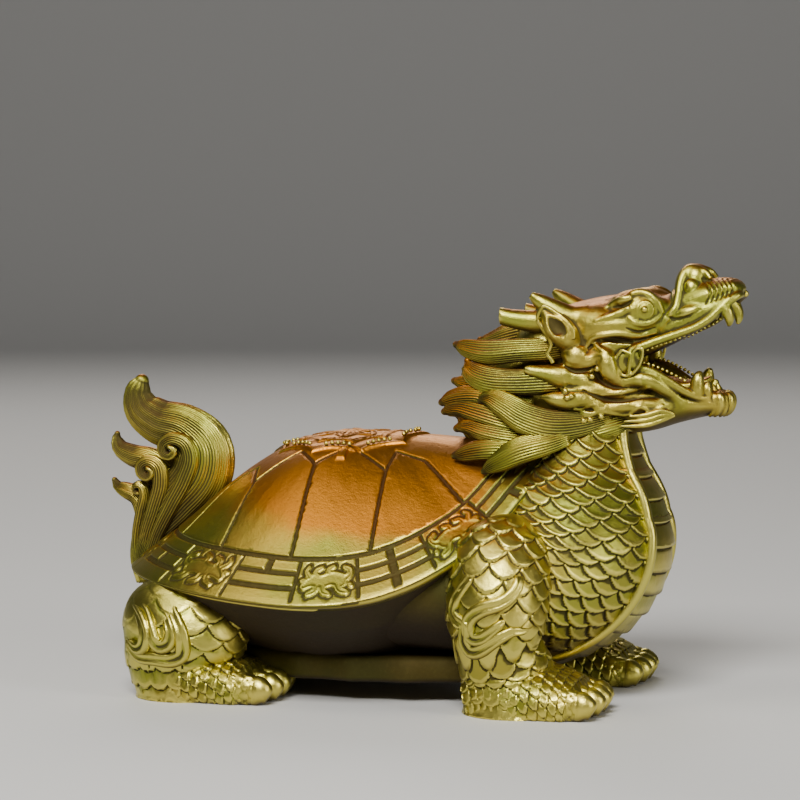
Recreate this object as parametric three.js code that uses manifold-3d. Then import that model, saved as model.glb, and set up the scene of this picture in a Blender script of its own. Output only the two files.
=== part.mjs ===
// A cast brass dragon turtle: a turtle with a dragon's head, mane, scaled legs and flaming tail.
// Millimetres, X towards the head, Y to the figure's left, Z up, origin under the middle of the
// figure's box, on the surface that its four feet stand on.
import * as THREE from "three";
import { LoftGeometry } from "three/addons/geometries/LoftGeometry.js";
import { mergeVertices } from "three/addons/utils/BufferGeometryUtils.js";
import Module from "manifold-3d";

const wasm = await Module();
wasm.setup();

// The figure is drawn on a square grid, as a carver squares up a drawing, and stands 115 squares
// high. Points and half widths below are in squares, so they are shares of the figure's height.
const FIGURE_HEIGHT = 115;
const SQUARE = FIGURE_HEIGHT / 115;

// Shell, in millimetres
const SHELL_LENGTH = 120;
const SHELL_WIDTH = 100;
const SHELL_TOP = 69.2;
const SHELL_REAR_SHIFT = 21;
const BAND_WIDTH = 11.5;
const RIM_EDGE = 3.3;
const GROOVE_WIDTH = 1.2;
const GROOVE_DEPTH = 0.6;
const BREAK_WIDTH = 2;
const RELIEF_HEIGHT = 0.9;
const MEDALLION_LENGTH = 44;
const MEDALLION_WIDTH = 30;
const BEAD_RADIUS = 1;
const RIM_SEGMENTS = 64;

// Body, in millimetres
const SCALE_ROW = 5.4;
const SCALE_LIFT = 1;
const CORD_RADIUS = 1.3;
const CHEST_PLATE_ANGLE = 27;
const CHEST_PLATE_LIFT = 0.9;
const PLASTRON_LENGTH = 92;
const PLASTRON_WIDTH = 56;
const PLASTRON_THICKNESS = 7;
const PLASTRON_CLEARANCE = 5.5;

// Feet, in millimetres
const TOE_RADIUS = 3.4;
const TOE_LENGTH = 6.5;
const TOES = 4;
const FLAME_RADIUS = 1.1;

// Head, in millimetres
const EYE_RADIUS = 2.7;
const FANG_LENGTH = 4.6;
const FANG_RADIUS = 1.3;
const TOOTH_HEIGHT = 1.8;
const TOOTH_PITCH = 3.4;
const LIP_RADIUS = 1.3;
const NOSTRIL_RADIUS = 2.4;

// Mane and tail, in millimetres
const STRAND_LIFT = 0.35;
const CURL_RADIUS = 2.6;
const CURL_ROLL = 1;

// The casting's surface is thinned to this many triangles once its forms are joined.
const TRIANGLES = 9800;
const SOLE_FIRMNESS = 1000;

const UP = new THREE.Vector3(0, 0, 1);
const LEFT = new THREE.Vector3(0, 1, 0);
const AHEAD = new THREE.Vector3(1, 0, 0);
const RADIANS = Math.PI / 180;

// A point of the drawing, given in grid squares.
function point(x, y, z) {
  return new THREE.Vector3(x, y, z).multiplyScalar(SQUARE);
}

function smooth(t) {
  return t * t * (3 - 2 * t);
}

// The value at x of a curve through rising [x, value] pairs.
function along(pairs, x) {
  if (x <= pairs[0][0]) return pairs[0][1];
  for (let i = 1; i < pairs.length; i++) {
    const [x1, v1] = pairs[i];
    const [x0, v0] = pairs[i - 1];
    if (x <= x1) return v0 + ((v1 - v0) * (x - x0)) / (x1 - x0);
  }
  return pairs[pairs.length - 1][1];
}

// Solids from closed geometry, and back
function solidOf(geometry) {
  const bare = new THREE.BufferGeometry();
  bare.setAttribute("position", geometry.getAttribute("position"));
  bare.setIndex(geometry.index);
  const merged = mergeVertices(bare, 1e-4);
  const triVerts = new Uint32Array(merged.index.array);
  const build = () =>
    new wasm.Manifold(
      new wasm.Mesh({
        numProp: 3,
        vertProperties: merged.attributes.position.array,
        triVerts,
      }),
    );
  const solid = build();
  if (solid.volume() > 0) return solid;
  for (let i = 0; i < triVerts.length; i += 3) {
    const first = triVerts[i];
    triVerts[i] = triVerts[i + 1];
    triVerts[i + 1] = first;
  }
  return build();
}

function joined(solids) {
  let list = solids.flat(Infinity);
  while (list.length > 1) {
    const pairs = [];
    for (let i = 0; i < list.length; i += 2) {
      pairs.push(i + 1 < list.length ? list[i].add(list[i + 1]) : list[i]);
    }
    list = pairs;
  }
  return list[0];
}

// The same solid with the pockets sealed inside it filled.
function filled(solid) {
  return joined(solid.decompose().filter((piece) => piece.volume() > 0));
}

// Sum of squared distances from a place to the planes gathered in a quadric: ten numbers, the
// upper half of the symmetric matrix of the planes' products.
function planeCost(q, p) {
  return (
    q[0] * p.x * p.x + 2 * q[1] * p.x * p.y + 2 * q[2] * p.x * p.z + 2 * q[3] * p.x +
    q[4] * p.y * p.y + 2 * q[5] * p.y * p.z + 2 * q[6] * p.y +
    q[7] * p.z * p.z + 2 * q[8] * p.z + q[9]
  );
}

function normalOf(a, b, c) {
  return new THREE.Vector3().subVectors(b, a).cross(new THREE.Vector3().subVectors(c, a));
}

// A closed surface with fewer triangles. Short and nearly flat edges are drawn together first, as
// long as no face turns over and the surface stays closed. The soles keep their plane.
function thinned(solid, target) {
  const mesh = solid.getMesh();
  const points = [];
  for (let i = 0; i < mesh.vertProperties.length; i += 3) {
    points.push(new THREE.Vector3().fromArray(mesh.vertProperties, i));
  }
  const quadrics = points.map(() => new Float64Array(10));
  const touching = points.map(() => new Set());
  const faces = [];
  for (let i = 0; i < mesh.triVerts.length; i += 3) {
    const face = [...mesh.triVerts.slice(i, i + 3)];
    const [a, b, c] = face.map((v) => points[v]);
    const n = normalOf(a, b, c).normalize();
    const d = -n.dot(a);
    const plane = [n.x, n.y, n.z, d];
    const firm = n.z < -0.999 && a.z < SOLE_FIRMNESS / 1e6 ? SOLE_FIRMNESS : 1;
    for (const v of face) {
      touching[v].add(faces.length);
      let k = 0;
      for (let row = 0; row < 4; row++) {
        for (let column = row; column < 4; column++) {
          quadrics[v][k] += firm * plane[row] * plane[column];
          k += 1;
        }
      }
    }
    faces.push(face);
  }
  const neighbours = (v) => {
    const corners = [...touching[v]].flatMap((f) => faces[f]);
    return new Set(corners.filter((u) => u !== v));
  };
  const turnsOver = (v, other, place) =>
    [...touching[v]].some((f) => {
      if (faces[f].includes(other)) return false;
      const before = normalOf(...faces[f].map((u) => points[u]));
      const after = normalOf(...faces[f].map((u) => (u === v ? place : points[u])));
      return after.dot(before) < 0.3 * after.length() * before.length() || after.length() < 1e-3;
    });
  let alive = faces.length;
  for (let limit = 1e-7; alive > target && limit < 1; limit *= 1.5) {
    for (let f = 0; f < faces.length && alive > target; f++) {
      for (let k = 0; faces[f] && k < 3; k++) {
        const [keep, drop] = [faces[f][k], faces[f][(k + 1) % 3]];
        const sum = quadrics[keep].map((value, i) => value + quadrics[drop][i]);
        const middle = points[keep].clone().lerp(points[drop], 0.5);
        const choices = [points[keep], points[drop], middle].map((at) => ({
          at,
          cost: planeCost(sum, at),
        }));
        const best = choices.reduce((least, choice) => (choice.cost < least.cost ? choice : least));
        if (best.cost > limit) continue;
        const near = neighbours(keep);
        if ([...neighbours(drop)].filter((v) => near.has(v)).length !== 2) continue;
        if (turnsOver(keep, drop, best.at) || turnsOver(drop, keep, best.at)) continue;
        points[keep] = best.at.clone();
        quadrics[keep] = sum;
        for (const g of touching[drop]) {
          if (faces[g].includes(keep)) {
            for (const v of faces[g]) if (v !== drop) touching[v].delete(g);
            faces[g] = null;
            alive -= 1;
          } else {
            faces[g] = faces[g].map((v) => (v === drop ? keep : v));
            touching[keep].add(g);
          }
        }
        touching[drop] = new Set();
      }
    }
  }
  const geometry = new THREE.BufferGeometry();
  const kept = faces.filter((face) => face).flat();
  const used = [...new Set(kept)];
  const number = new Map(used.map((v, i) => [v, i]));
  const places = used.flatMap((v) => points[v].toArray());
  geometry.setAttribute("position", new THREE.BufferAttribute(new Float32Array(places), 3));
  geometry.setIndex(kept.map((v) => number.get(v)));
  geometry.computeVertexNormals();
  return geometry;
}

// The same form on the other side of the figure.
function mirrored(geometry) {
  const copy = new THREE.BufferGeometry().copy(geometry);
  return copy.applyMatrix4(new THREE.Matrix4().makeScale(1, -1, 1));
}

function bothSides(geometry) {
  return [solidOf(geometry), solidOf(mirrored(geometry))];
}

// A rounded form along a smooth path. Each station is {at, wide, tall}: its middle and its half
// sizes across and along the reference direction. The lift callback adds to the radius.
function sweep(stations, options = {}) {
  const { reference = UP, sides = 8, steps = 8, lift = () => 0, square = 1 } = options;
  const path = new THREE.CatmullRomCurve3(
    stations.map((s) => s.at),
    false,
    "centripetal",
  );
  const last = stations.length - 1;
  const sections = [];
  for (let i = 0; i <= steps; i++) {
    const t = i / steps;
    const place = t * last;
    const from = Math.min(Math.floor(place), last - 1);
    const part = smooth(place - from);
    const wide = THREE.MathUtils.lerp(stations[from].wide, stations[from + 1].wide, part);
    const tall = THREE.MathUtils.lerp(stations[from].tall, stations[from + 1].tall, part);
    const middle = path.getPoint(t);
    const tangent = path.getTangent(t);
    const across = new THREE.Vector3().crossVectors(reference, tangent).normalize();
    const over = new THREE.Vector3().crossVectors(tangent, across).normalize();
    const section = [];
    for (let j = 0; j < sides; j++) {
      const angle = (2 * Math.PI * j) / sides;
      const c = Math.cos(angle);
      const s = Math.sin(angle);
      const extra = lift(t, angle, i, j);
      section.push(
        middle
          .clone()
          .addScaledVector(across, Math.sign(c) * Math.abs(c) ** square * (wide + extra))
          .addScaledVector(over, Math.sign(s) * Math.abs(s) ** square * (tall + extra)),
      );
    }
    sections.push(section);
  }
  return new LoftGeometry(sections, { closed: true, capStart: true, capEnd: true });
}

// Stations of a sweep from rows of [x, y, z, half width, half height], in grid squares.
function stations(rows) {
  return rows.map(([x, y, z, wide, tall = wide]) => ({
    at: point(x, y, z),
    wide: wide * SQUARE,
    tall: tall * SQUARE,
  }));
}

// An ellipsoid with its middle and half sizes in grid squares.
function ellipsoid(x, y, z, a, b, c, around = 10, down = 7) {
  const form = new THREE.SphereGeometry(1, around, down);
  form.scale(a * SQUARE, b * SQUARE, c * SQUARE);
  return form.translate(x * SQUARE, y * SQUARE, z * SQUARE);
}

// A pointed cone from its root towards its tip.
function spike(root, tip, radius, sides = 6) {
  const length = root.distanceTo(tip);
  const form = new THREE.ConeGeometry(radius, length, sides);
  form.translate(0, length / 2, 0);
  const turn = new THREE.Quaternion().setFromUnitVectors(
    new THREE.Vector3(0, 1, 0),
    tip.clone().sub(root).normalize(),
  );
  return form.applyQuaternion(turn).translate(root.x, root.y, root.z);
}

// Shell: its rim is an ellipse in plan that climbs towards the shoulders. Rows are the share of
// the half length ahead of the shell's middle, and the rim's height in squares. A point of the
// dome is named by its share of the way out from the top, 0 to 1, and its angle from the front.
const RIM_CLIMB = [
  [-1, 33],
  [-0.65, 31],
  [-0.333, 29.6],
  [-0.017, 28.6],
  [0.267, 29.8],
  [0.433, 33],
  [0.583, 37.5],
  [0.792, 47],
  [0.883, 56],
  [0.95, 62],
  [1, 66],
];
const DOME_PROFILE = [
  [0, 1],
  [0.15, 0.965],
  [0.3, 0.88],
  [0.45, 0.73],
  [0.6, 0.54],
  [0.77, 0.29],
  [1, 0],
];
const BAND_START = 1 - BAND_WIDTH / (SHELL_WIDTH / 2);

function rimHeight(angle) {
  return along(RIM_CLIMB, Math.cos(angle)) * SQUARE;
}

function domePoint(out, angle, raised = 0) {
  const rim = rimHeight(angle);
  const height = rim + (SHELL_TOP - rim) * along(DOME_PROFILE, out);
  const slope = Math.min(1, out * 1.1) * raised;
  return new THREE.Vector3(
    -SHELL_REAR_SHIFT + (SHELL_LENGTH / 2) * out * Math.cos(angle) + slope * 0.5 * Math.cos(angle),
    (SHELL_WIDTH / 2) * out * Math.sin(angle) + slope * 0.6 * Math.sin(angle),
    height + raised * 0.8,
  );
}

// Rings of the shell from the top over the rim to the middle of its underside.
function shellForm() {
  const under = [
    [0.965, 0],
    [0.8, 0.38],
    [0.5, 0.85],
    [0.06, 1],
  ];
  const bowl = 9 * SQUARE;
  const half = GROOVE_WIDTH / SHELL_WIDTH;
  const rings = [
    [0.05, 0],
    [0.2, 0],
    [0.4, 0],
    [0.6, 0],
    [BAND_START - half, 0],
    [BAND_START, -GROOVE_DEPTH],
    [BAND_START + half, 0],
    [1, 0],
  ];
  const sections = rings.map(([out, raised]) => {
    const ring = [];
    for (let i = 0; i < RIM_SEGMENTS; i++) {
      ring.push(domePoint(out, (-2 * Math.PI * i) / RIM_SEGMENTS, raised));
    }
    return ring;
  });
  for (const [out, sunk] of under) {
    const ring = [];
    for (let i = 0; i < RIM_SEGMENTS; i++) {
      const edge = domePoint(1, (-2 * Math.PI * i) / RIM_SEGMENTS);
      const middle = -SHELL_REAR_SHIFT;
      const low = THREE.MathUtils.lerp(edge.z - RIM_EDGE, bowl, sunk);
      ring.push(new THREE.Vector3(middle + (edge.x - middle) * out, edge.y * out, low));
    }
    sections.push(ring);
  }
  return new LoftGeometry(sections, { closed: true, capStart: true, capEnd: true });
}

// A strip that lies along a path on the dome. Its section is given as [across, up] corners, in
// half widths and heights, counter-clockwise as seen along the path from its end.
const BAR_SECTION = [[1, -1], [0.85, 1], [-0.85, 1], [-1, -1]];
const GROOVE_SECTION = [[0, -1], [1, 1], [-1, 1]];

function strip(path, section, width, height, pieces) {
  const sections = [];
  for (let i = 0; i <= pieces; i++) {
    const here = path(i / pieces);
    const tangent = path(Math.min(1, i / pieces + 0.02)).sub(path(Math.max(0, i / pieces - 0.02)));
    const out = new THREE.Vector3(
      (here.x + SHELL_REAR_SHIFT) / (SHELL_LENGTH / 2) ** 2,
      here.y / (SHELL_WIDTH / 2) ** 2,
      1 / SHELL_TOP,
    ).normalize();
    const across = new THREE.Vector3().crossVectors(out, tangent).normalize();
    sections.push(
      section.map(([side, lift]) =>
        here.clone().addScaledVector(across, (side * width) / 2).addScaledVector(out, lift * height),
      ),
    );
  }
  return solidOf(new LoftGeometry(sections, { closed: true, capStart: true, capEnd: true }));
}

// A line on the dome between two [share out, degrees] places, straight on the shell's plan.
function domeLine(from, to) {
  const ends = [from, to].map(([out, degrees]) => ({
    x: out * Math.cos(degrees * RADIANS),
    y: out * Math.sin(degrees * RADIANS),
  }));
  return (t) => {
    const x = THREE.MathUtils.lerp(ends[0].x, ends[1].x, t);
    const y = THREE.MathUtils.lerp(ends[0].y, ends[1].y, t);
    return domePoint(Math.hypot(x, y), Math.atan2(y, x));
  };
}

// The panels of the band: their edges in degrees from the front, on one side of the figure.
const PANEL_EDGES = [18, 37, 54, 74, 91, 111, 134, 157, 180];
const COSTAL_LINES = [
  [[0.5, 35], [BAND_START, 38]],
  [[0.45, 56], [BAND_START, 70]],
  [[0.37, 102], [BAND_START, 95]],
  [[0.51, 135], [BAND_START, 122]],
  [[0.56, 158], [BAND_START, 150]],
];
const VERTEBRAL_PEAKS = [[0.36, 42], [0.25, 76], [0.3, 124], [0.44, 150]];

// The lines that part the big plates of the shell.
function plateGrooves() {
  const cuts = [];
  const groove = (from, to, pieces) => {
    cuts.push(strip(domeLine(from, to), GROOVE_SECTION, GROOVE_WIDTH, GROOVE_DEPTH, pieces));
  };
  for (const side of [-1, 1]) {
    const place = ([out, degrees]) => [out, degrees * side];
    COSTAL_LINES.forEach(([high, low], i) => {
      groove(place(high), place(low), 2);
      const peak = VERTEBRAL_PEAKS[i];
      if (!peak) return;
      groove(place(high), place(peak), 1);
      groove(place(peak), place(COSTAL_LINES[i + 1][0]), 1);
    });
  }
  return cuts;
}

// Three raised bars across a panel of the band, whole or broken in the middle. Bit 0 of the sign
// is the inner bar.
function trigram(start, end, side, sign) {
  const bars = [];
  const pitch = BAND_WIDTH / 3;
  const turn = (2 * GROOVE_WIDTH) / SHELL_WIDTH / RADIANS;
  const gap = BREAK_WIDTH / SHELL_WIDTH / RADIANS;
  for (let i = 0; i < 3; i++) {
    const out = BAND_START + (pitch * (i + 0.5) + GROOVE_WIDTH / 4) / (SHELL_WIDTH / 2);
    const width = pitch - GROOVE_WIDTH / 2;
    const piece = (from, to, pieces) => {
      const path = (t) => domePoint(out, THREE.MathUtils.lerp(from, to, t) * RADIANS * side);
      bars.push(strip(path, BAR_SECTION, width, RELIEF_HEIGHT, pieces));
    };
    const middle = (start + end) / 2;
    if (sign & (1 << i)) piece(start + turn, end - turn, 2);
    else {
      piece(start + turn, middle - gap, 1);
      piece(middle + gap, end - turn, 1);
    }
  }
  return bars;
}

// A beast in relief on a band panel, drawn as [forward, out] shares of the panel.
const BEAST_OUTLINE = [
  [-0.42, 0.05],
  [-0.3, -0.22],
  [0, -0.14],
  [0.16, -0.34],
  [0.4, -0.3],
  [0.34, -0.04],
  [0.24, 0.34],
  [0.1, 0.12],
  [-0.16, 0.14],
  [-0.24, 0.36],
];

function panelBeast(start, end, side) {
  const middle = (start + end) / 2;
  const layer = (lift) =>
    BEAST_OUTLINE.map(([forward, out]) => {
      const share = BAND_START + (1 - BAND_START) * (0.5 + out);
      return domePoint(share, (middle - forward * (end - start)) * RADIANS * side, lift);
    });
  const sections = [layer(-RELIEF_HEIGHT), layer(RELIEF_HEIGHT)];
  if (side < 0) for (const ring of sections) ring.reverse();
  return solidOf(new LoftGeometry(sections, { closed: true, capStart: true, capEnd: true }));
}

// The raised medallion on the top: lobes of cloud round an oval, with rows of beads between them.
function medallion() {
  const lobes = 10;
  const outline = new THREE.Shape();
  const count = 40;
  for (let i = 0; i < count; i++) {
    const angle = (2 * Math.PI * i) / count;
    const reach = 1 - 0.12 * Math.abs(Math.sin((lobes * angle) / 2)) ** 0.7;
    const x = (MEDALLION_LENGTH / 2) * reach * Math.cos(angle);
    const y = (MEDALLION_WIDTH / 2) * reach * Math.sin(angle);
    if (i) outline.lineTo(x, y);
    else outline.moveTo(x, y);
  }
  const sunk = 4;
  const form = new THREE.ExtrudeGeometry(outline, { depth: sunk, bevelEnabled: false });
  const places = form.getAttribute("position");
  for (let i = 0; i < places.count; i++) {
    const out = Math.hypot(places.getX(i) / (SHELL_LENGTH / 2), places.getY(i) / (SHELL_WIDTH / 2));
    const angle = Math.atan2(places.getY(i) / SHELL_WIDTH, places.getX(i) / SHELL_LENGTH);
    const top = domePoint(out, angle);
    const lift = places.getZ(i) > sunk / 2 ? RELIEF_HEIGHT : RELIEF_HEIGHT - sunk;
    places.setXYZ(i, top.x, top.y, top.z + lift);
  }
  const beads = [];
  for (let i = 0; i < lobes; i++) {
    const angle = (2 * Math.PI * (i + 0.5)) / lobes;
    const out = Math.hypot(
      (MEDALLION_LENGTH / SHELL_LENGTH) * 0.72 * Math.cos(angle),
      (MEDALLION_WIDTH / SHELL_WIDTH) * 0.72 * Math.sin(angle),
    );
    const at = domePoint(out, angle, RELIEF_HEIGHT);
    const bead = new THREE.SphereGeometry(BEAD_RADIUS * 1.6, 5, 3);
    beads.push(solidOf(bead.translate(at.x, at.y, at.z)));
  }
  const boss = new THREE.SphereGeometry(1, 10, 4);
  boss.scale(MEDALLION_WIDTH / 5, MEDALLION_WIDTH / 5, RELIEF_HEIGHT * 1.6);
  const top = domePoint(0, 0);
  boss.translate(top.x, top.y, top.z + RELIEF_HEIGHT * 0.2);
  return [solidOf(form), solidOf(boss), beads];
}

// Signs of the eight trigrams, from the front to the rear: first the figure's right side, then
// its left.
const SIGNS = [
  [3, 0, 6, 5],
  [1, 7, 4, 2],
];

function shell() {
  let whole = solidOf(shellForm());
  for (const cut of plateGrooves()) whole = whole.subtract(cut);
  const reliefs = [];
  [-1, 1].forEach((side, row) => {
    SIGNS[row].forEach((sign, i) => {
      const [start, edge, end] = PANEL_EDGES.slice(2 * i, 2 * i + 3);
      reliefs.push(trigram(start, edge, side, sign));
      if (end < 180) reliefs.push(panelBeast(edge, end, side));
    });
  });
  const [rear, last] = PANEL_EDGES.slice(-2);
  reliefs.push(panelBeast(rear, 2 * last - rear, 1));
  return [whole, reliefs, medallion()];
}

// Body: one loft from the throat down the chest and back under the shell. Rows are the middle's
// x and z, the half depth in the mid plane and the half width.
const BODY_ROWS = [
  [49, 80, 9, 10],
  [46.5, 73, 10.2, 13.5],
  [44.4, 64, 14.8, 18],
  [42.5, 54, 22.5, 24],
  [39, 43, 27.5, 29.5],
  [31, 35, 26.5, 33],
  [14, 31.5, 21.5, 39],
  [-8, 31, 21, 43],
  [-32, 32, 20.5, 41],
  [-54, 33, 17, 32],
  [-70, 34, 11, 19],
  [-78, 34, 4, 9],
];
const bodyPath = new THREE.CatmullRomCurve3(
  BODY_ROWS.map(([x, z]) => point(x, 0, z)),
  false,
  "centripetal",
);

// A point of the body's skin: t runs from throat to rump, and the angle is 0 on the mid line of
// the chest and 90 degrees on the figure's left.
function bodyPoint(t, angle, lift = 0) {
  const last = BODY_ROWS.length - 1;
  const from = Math.min(Math.floor(t * last), last - 1);
  const part = t * last - from;
  const depth = THREE.MathUtils.lerp(BODY_ROWS[from][2], BODY_ROWS[from + 1][2], part) * SQUARE;
  const width = THREE.MathUtils.lerp(BODY_ROWS[from][3], BODY_ROWS[from + 1][3], part) * SQUARE;
  const middle = bodyPath.getPoint(t);
  const tangent = bodyPath.getTangent(t);
  const front = new THREE.Vector3().crossVectors(LEFT, tangent).normalize().negate();
  return middle
    .addScaledVector(front, Math.cos(angle) * (depth + lift))
    .addScaledVector(LEFT, Math.sin(angle) * (width + lift));
}

const BODY_SIDES = 36;
const BELLY_START = 0.5;

function body() {
  const scaleRows = Math.round(bodyPath.getLength() * BELLY_START / SCALE_ROW);
  const sections = [];
  const add = (t, lift) => {
    const ring = [];
    for (let j = 0; j < BODY_SIDES; j++) {
      const angle = (-2 * Math.PI * j) / BODY_SIDES;
      ring.push(bodyPoint(t, angle, lift(j, angle)));
    }
    sections.push(ring);
  };
  const onPlate = (angle) => Math.cos(angle) > Math.cos(CHEST_PLATE_ANGLE * RADIANS);
  for (let row = 0; row < scaleRows; row++) {
    const top = (row / scaleRows) * BELLY_START;
    const low = ((row + 0.86) / scaleRows) * BELLY_START;
    add(top, (j, angle) => (onPlate(angle) ? CHEST_PLATE_LIFT / 2 : 0));
    add(low, (j, angle) => {
      if (onPlate(angle)) return CHEST_PLATE_LIFT;
      return (j + row) % 2 ? SCALE_LIFT : SCALE_LIFT / 4;
    });
  }
  const rest = 7;
  for (let i = 0; i <= rest; i++) add(BELLY_START + (1 - BELLY_START) * (i / rest), () => 0);
  return solidOf(new LoftGeometry(sections, { closed: true, capStart: true, capEnd: true }));
}

// The two smooth cords that border the chest plate.
function chestCords() {
  return [-1, 1].map((side) => {
    const rows = [];
    for (let i = 0; i <= 7; i++) {
      const t = 0.02 + (0.44 * i) / 7;
      const at = bodyPoint(t, side * CHEST_PLATE_ANGLE * RADIANS, CORD_RADIUS / 2);
      rows.push({ at, wide: CORD_RADIUS, tall: CORD_RADIUS });
    }
    return solidOf(sweep(rows, { reference: LEFT, sides: 6, steps: 14 }));
  });
}

// The flat plate under the belly, with scalloped edges where its plates meet.
function plastron() {
  const plates = 6;
  const count = 24;
  const outline = new THREE.Shape();
  for (let i = 0; i < count; i++) {
    const angle = (2 * Math.PI * i) / count;
    const x = (PLASTRON_LENGTH / 2) * Math.cos(angle);
    const scallop = 1 - 0.05 * Math.abs(Math.sin((plates * Math.PI * x) / PLASTRON_LENGTH));
    const y = (PLASTRON_WIDTH / 2) * Math.sin(angle) * scallop;
    if (i) outline.lineTo(x, y);
    else outline.moveTo(x, y);
  }
  const bevel = PLASTRON_THICKNESS / 4;
  const form = new THREE.ExtrudeGeometry(outline, {
    depth: PLASTRON_THICKNESS - bevel,
    bevelThickness: bevel,
    bevelSize: bevel,
    bevelOffset: -bevel,
    bevelSegments: 1,
  });
  const middle = -13 * SQUARE;
  return solidOf(form.translate(middle, 0, PLASTRON_CLEARANCE + bevel));
}

// Legs: rows of x, y, z and the half sizes across and along X, then the foot from heel to toes.
const FRONT_LEG = {
  leg: [
    [31, -24, 49, 3, 4],
    [30, -27.5, 44.5, 9, 9.5],
    [28.8, -31, 37.5, 11.5, 12.5],
    [28.4, -33.5, 30, 11.5, 12.6],
    [28.2, -34, 24, 10.6, 12.2],
    [28.3, -33.2, 18, 10, 10.6],
    [30, -31, 11, 11, 11.4],
    [31.5, -29.5, 2, 12.2, 12.8],
  ],
  foot: [
    [21, -29, 3, 9, 6],
    [28, -29, 5, 12, 9.5],
    [38, -28.5, 4.5, 13, 8.5],
    [47, -28, 3.4, 13, 6],
    [51, -28, 2.4, 12, 3.6],
  ],
  toes: { x: 48.8, y: -28, spread: 20 },
  scroll: [
    [[18, 38], [16.6, 30], [18, 22.5], [24, 19], [29.5, 23], [33, 29], [37, 35]],
    [[22, 40], [20.4, 32], [22, 26.4], [26, 27.5], [28, 34], [32, 42]],
  ],
};
const HIND_LEG = {
  leg: [
    [-50, -21, 35, 4, 6],
    [-53, -25, 31.5, 9.5, 13],
    [-55, -28, 26, 12, 17.4],
    [-57.2, -29.5, 19, 12.4, 17.6],
    [-59.4, -29.5, 11, 11.4, 14.6],
    [-58.5, -29, 2, 11, 12.6],
  ],
  foot: [
    [-67, -29, 3.5, 8.5, 6],
    [-60, -29, 5, 10.5, 8],
    [-50, -28.5, 4.8, 12, 7],
    [-41, -28, 3.6, 12.5, 6],
    [-37, -28, 2.6, 11.5, 4],
  ],
  toes: { x: -37.5, y: -28, spread: 19 },
  scroll: [
    [[-72, 9], [-74, 17], [-71.6, 24], [-66, 29], [-64.5, 23]],
    [[-68, 6], [-69.6, 13], [-67, 20], [-62, 26], [-60.6, 18]],
    [[-62, 5], [-63, 12], [-59, 18], [-57, 26]],
  ],
};

// The y of the outer skin of a leg at a given x and z, in grid squares.
function legSkin(rows, x, z) {
  const rising = [...rows].reverse();
  const [middle, side, across, deep] = [0, 1, 3, 4].map((k) =>
    along(rising.map((row) => [row[2], row[k]]), z),
  );
  const share = Math.min(0.97, Math.abs(x - middle) / deep);
  return side - across * Math.sqrt(1 - share * share);
}

function leg(form) {
  const scaled = (t, angle, i, j) => ((i + j) % 2 ? SCALE_LIFT / 2 : 0);
  const parts = [
    sweep(stations(form.leg), {
      reference: AHEAD,
      sides: 14,
      steps: 9,
      lift: scaled,
    }),
    sweep(stations(form.foot), { sides: 12, steps: 7, lift: scaled, square: 0.85 }),
  ];
  for (let i = 0; i < TOES; i++) {
    const y = form.toes.y + form.toes.spread * (i / (TOES - 1) - 0.5);
    const toe = new THREE.SphereGeometry(1, 8, 6);
    toe.scale(TOE_LENGTH, TOE_RADIUS, TOE_RADIUS);
    const back = 1.5 * Math.abs(2 * (i / (TOES - 1)) - 1);
    parts.push(toe.translate((form.toes.x - back) * SQUARE, y * SQUARE, TOE_RADIUS * 0.95));
  }
  for (const line of form.scroll) {
    const rows = line.map(([x, z]) => ({
      at: point(x, legSkin(form.leg, x, z), z),
      wide: FLAME_RADIUS,
      tall: FLAME_RADIUS * 1.8,
    }));
    rows[rows.length - 1].wide = FLAME_RADIUS / 3;
    parts.push(sweep(rows, { reference: LEFT, sides: 5, steps: 9 }));
  }
  return parts.map(bothSides);
}

// Head: the upper head from the nape to the lifted snout, and the hanging lower jaw
const UPPER_HEAD = [
  [31, 0, 91, 9, 9],
  [40, 0, 93.5, 12.5, 10],
  [49, 0, 96, 13.5, 9.8],
  [57, 0, 97.5, 12, 9.3],
  [65, 0, 98, 9, 8.2],
  [72, 0, 100.5, 8.3, 7.8],
  [78, 0, 103, 8.2, 5.4],
  [82.5, 0, 106, 7, 2.6],
  [84.6, 0, 107, 5, 1.2],
];
const LOWER_JAW = [
  [44, 0, 80, 11, 8],
  [53, 0, 78.5, 11, 8.3],
  [61, 0, 78.5, 9.8, 7.6],
  [68, 0, 78.6, 8.6, 5.6],
  [75, 0, 78.4, 7.5, 3.6],
  [80, 0, 78.2, 5.2, 2.4],
];

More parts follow.
